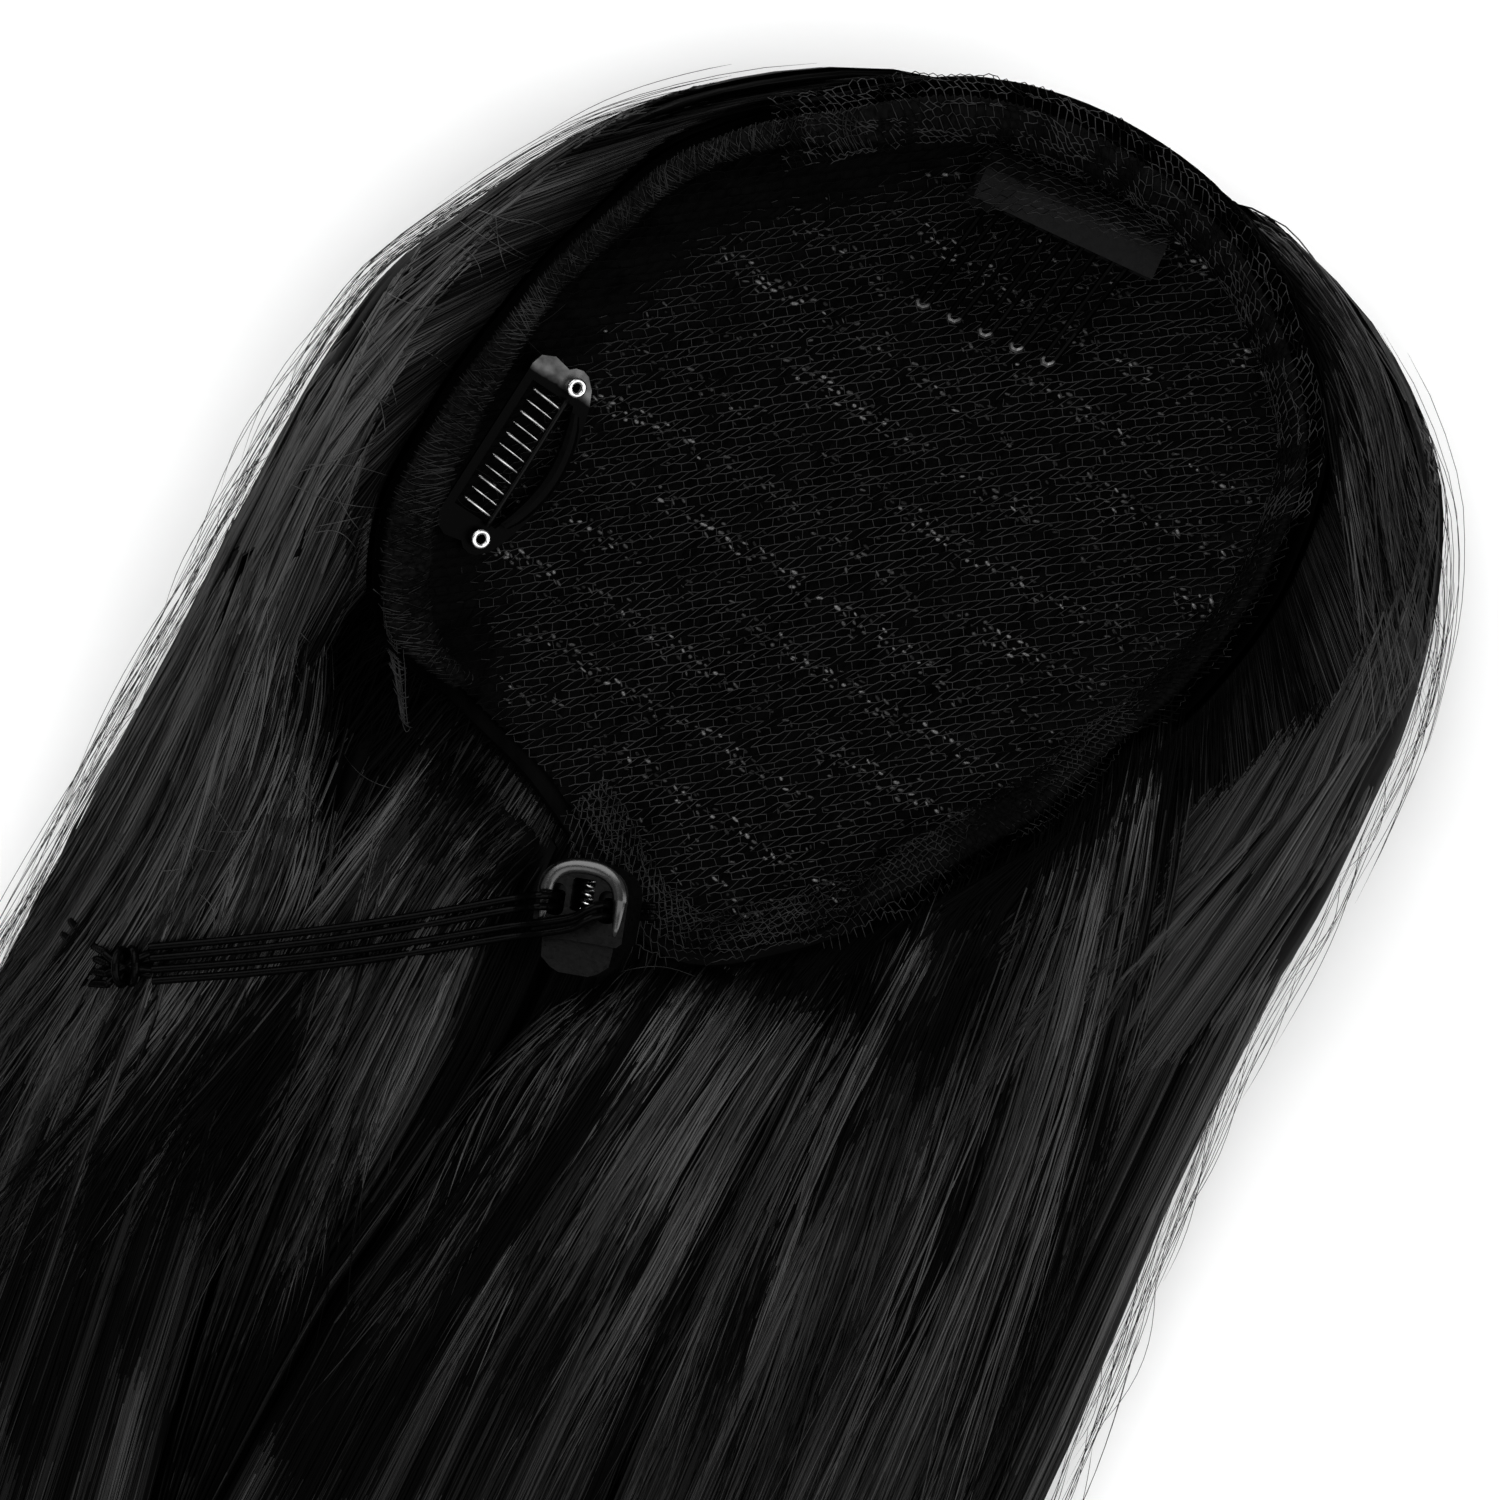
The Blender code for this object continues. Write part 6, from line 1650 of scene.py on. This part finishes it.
def braid(name, path, radius, mat, step=0.18, sides=12, wobble=0.05):
    """A braided round elastic as a real ridged surface."""
    length = sum((b - a).length for a, b in zip(path, path[1:]))
    n = max(8, int(length / step))
    fine = smooth_route(path, n) if len(path) < n else path
    fr = frames_along(fine)
    th = np.arange(sides) * 2 * np.pi / sides
    pts = []
    for i, p in enumerate(fine):
        q = length * i / (len(fine) - 1)
        k = 2 * math.pi * q / 0.95
        weave = np.sin(4 * th + k) * np.sin(4 * th - k)
        rad = radius * (1.0 + wobble * weave)
        if i < 2 or i > len(fine) - 3:
            rad = rad * 0.93
        s, u = np.array(fr[i][0]), np.array(fr[i][1])
        pts.append(np.array(p)[None] + (rad * np.cos(th))[:, None] * s[None] + (rad * np.sin(th))[:, None] * u[None])
    pts = np.array(pts)
    m = sides
    quads = grid_quads(len(pts), m, closed_cols=True)
    flat = pts.reshape(-1, 3)
    tris = []
    for row in (0, len(pts) - 1):
        flat = np.concatenate([flat, pts[row].mean(0)[None]])
        for k in range(m):
            tris.append((row * m + k, row * m + (k + 1) % m, len(flat) - 1))
    obj = fast_mesh(name, flat, quads, np.array(tris), mat)
    return fix_normals(obj), length


def build_spring(f):
    """Coil in the lock's window, built at rest; nothing here shortens it as the button goes in."""
    turns, n = 4.0, 130
    pts = []
    for i in range(n):
        q = i / (n - 1)
        a = 2 * math.pi * turns * q
        y = -4.3 + 5.65 * q
        pts.append(f @ Vector((1.28 * math.cos(a), y, 1.28 * math.sin(a))))
    fr = frames_along(pts)
    k = 8
    th = np.arange(k) * 2 * np.pi / k
    rows = np.array([np.array(p)[None] + 0.25 * (np.cos(th)[:, None] * np.array(a)[None] + np.sin(th)[:, None] * np.array(b)[None])
                     for p, (a, b) in zip(pts, fr)])
    flat = rows.reshape(-1, 3)
    tris = []
    for row in (0, n - 1):
        flat = np.concatenate([flat, rows[row].mean(0)[None]])
        for j in range(k):
            tris.append((row * k + j, row * k + (j + 1) % k, len(flat) - 1))
    obj = fast_mesh("lock_coil", flat, grid_quads(n, k, closed_cols=True), np.array(tris), MAT["steel"])
    fix_normals(obj)
    place(obj, ROOT, "bright_steel", "lock_spring")
    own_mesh(obj)


def build_lock_rim(f):
    """The raised, domed rim round the lock's face."""
    n, k = 72, 12
    ctr = []
    for i in range(n):
        a = math.pi * (0.02 + 0.96 * i / (n - 1))
        c, sn = math.cos(a), math.sin(a)
        x = 6.15 * math.copysign(abs(c) ** (2 / 2.4), c)
        y = -0.2 - 5.3 * abs(sn) ** (2 / 2.4)
        ctr.append((x, y))
    ctr = [(6.1, 4.6), (6.15, 3.2), (6.15, 1.5)] + ctr + [(-6.15, 1.5), (-6.15, 3.2), (-6.1, 4.6)]
    ctr = np.array(ctr)
    tan = np.gradient(ctr, axis=0)
    tan /= np.linalg.norm(tan, axis=1, keepdims=True)
    nor = np.stack([tan[:, 1], -tan[:, 0]], -1)
    rows = []
    for i in range(len(ctr)):
        fade = min(1.0, 0.35 + 0.65 * min(i, len(ctr) - 1 - i) / 4)
        ring = []
        for j in range(k):
            b = 2 * math.pi * j / k
            off = 1.28 * math.cos(b) * fade
            h = LOCK_T / 2 - 0.25 + (0.85 * math.sin(b) * fade if math.sin(b) > 0 else 0.15 * math.sin(b))
            ring.append(f @ Vector((ctr[i, 0] + nor[i, 0] * off, ctr[i, 1] + nor[i, 1] * off, h)))
        rows.append([tuple(v) for v in ring])
    rows = np.array(rows)
    flat = rows.reshape(-1, 3)
    tris = []
    for row in (0, len(ctr) - 1):
        flat = np.concatenate([flat, rows[row].mean(0)[None]])
        for j in range(k):
            tris.append((row * k + j, row * k + (j + 1) % k, len(flat) - 1))
    obj = fast_mesh("lock_face_rim", flat, grid_quads(len(ctr), k, closed_cols=True), np.array(tris), MAT["gloss"])
    fix_normals(obj)
    place(obj, ROOT, "lock_plastic")


def build_cords():
    f = lock_frame()
    build_spring(f)
    build_lock_rim(f)
    routes, knot = cord_routes(f)
    # knot: one pair of wraps over the strands, then the strands through it
    kp, rad = [], CORD_D / 2
    side, up = SIDEWAYS, Vector((0, 0, 1))
    for k, (ph, tilt) in enumerate(((0.2, 0.35), (2.4, -0.3))):
        path = []
        for i in range(60):
            a = ph + 2 * math.pi * 1.12 * i / 59
            c, s = math.cos(a), math.sin(a)
            along = (-0.75 + 1.5 * k) + 1.1 * math.sin(a + tilt) * (0.8 if k else -0.8)
            path.append(knot + DIRECTION * along + side * (2.65 * c) + up * (1.95 * s))
        kp.append(braid("knot_wrap_%d" % k, path, rad, MAT["elastic"], 0.18, 12)[0])
    for k, (at, dz) in enumerate(((2.1, 0.5), (0.8, -0.5), (-0.8, 0.55), (-2.1, -0.4))):
        path = [knot - DIRECTION * 3.6 + side * (0.87 * (2.0, 1.0, -1.0, -2.0)[k]) + up * -0.3,
                knot - DIRECTION * 1.4 + side * (at * 0.45) + up * dz,
                knot + DIRECTION * 1.4 + side * (-at * 0.35) + up * -dz,
                knot + DIRECTION * 3.3 + side * (2.45, 0.8, -0.85, -2.5)[k] * -1.0 + up * 0.0]
        kp.append(braid("knot_core_%d" % k, smooth_route(path, 30), rad, MAT["elastic"], 0.2, 10)[0])
    bpy.ops.object.select_all(action="DESELECT")
    for o in kp:
        o.select_set(True)
    bpy.context.view_layer.objects.active = kp[0]
    bpy.ops.object.join()
    knot_obj = kp[0]
    knot_obj.name = "drawstring_knot"
    place(knot_obj, ROOT, "elastic", "cord_knot")

    ends = [(-2.45, -13, 8.8), (-0.8, -22, 9.4), (0.85, -43, 9.2), (2.5, -53, 8.4)]
    tails = []
    for k, (at_knot, turn, far) in enumerate(ends):
        d = Matrix.Rotation(math.radians(turn), 3, "Z") @ DIRECTION
        a = knot + DIRECTION * (KNOT_D * 0.42 + 0.4) + side * at_knot
        m1, b = a + DIRECTION * far * 0.2 + d * far * 0.3, a + DIRECTION * far * 0.2 + d * far * 0.8
        for p in (m1, b):
            p.z = hair_top(p.x, p.y) + CORD_D / 2 + 0.9
        m1.z = max(m1.z, (a.z + b.z) / 2)
        t, _ = braid("drawstring_tail_%d" % (k + 1), smooth_route([a, m1, b], 24), rad, MAT["elastic"], 0.16, 12)
        place(t, ROOT, "elastic", "cord_tail_%d" % (k + 1))
        tails.append(t)
    for k, (name, path) in enumerate(routes):
        obj, length = braid(name.replace("cord", "drawstring"), path, rad, MAT["elastic"])
        place(obj, ROOT, "elastic", name)
        withp = [tails[k]]
        if k == 0:
            withp += [knot_obj]
    return f


def main():
    camera_and_light()
    cap = build_bed()
    build_net()
    build_casing()
    build_hem_net()
    build_rim_net()
    build_tape_net()
    build_casing_threads()
    build_clip()
    build_loops()
    build_hair()
    build_cords()
    simple = {
        "clip_back": "clip_frame", "clip_grip": "rubber", 
        "lock_body": "plastic", "lock_button": "plastic",
        "side_comb": "wire", "comb_tape": "tape",
    }
    for n, mname in simple.items():
        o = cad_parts[n]
        o.data.materials.clear()
        o.data.materials.append(MAT[mname])


main()
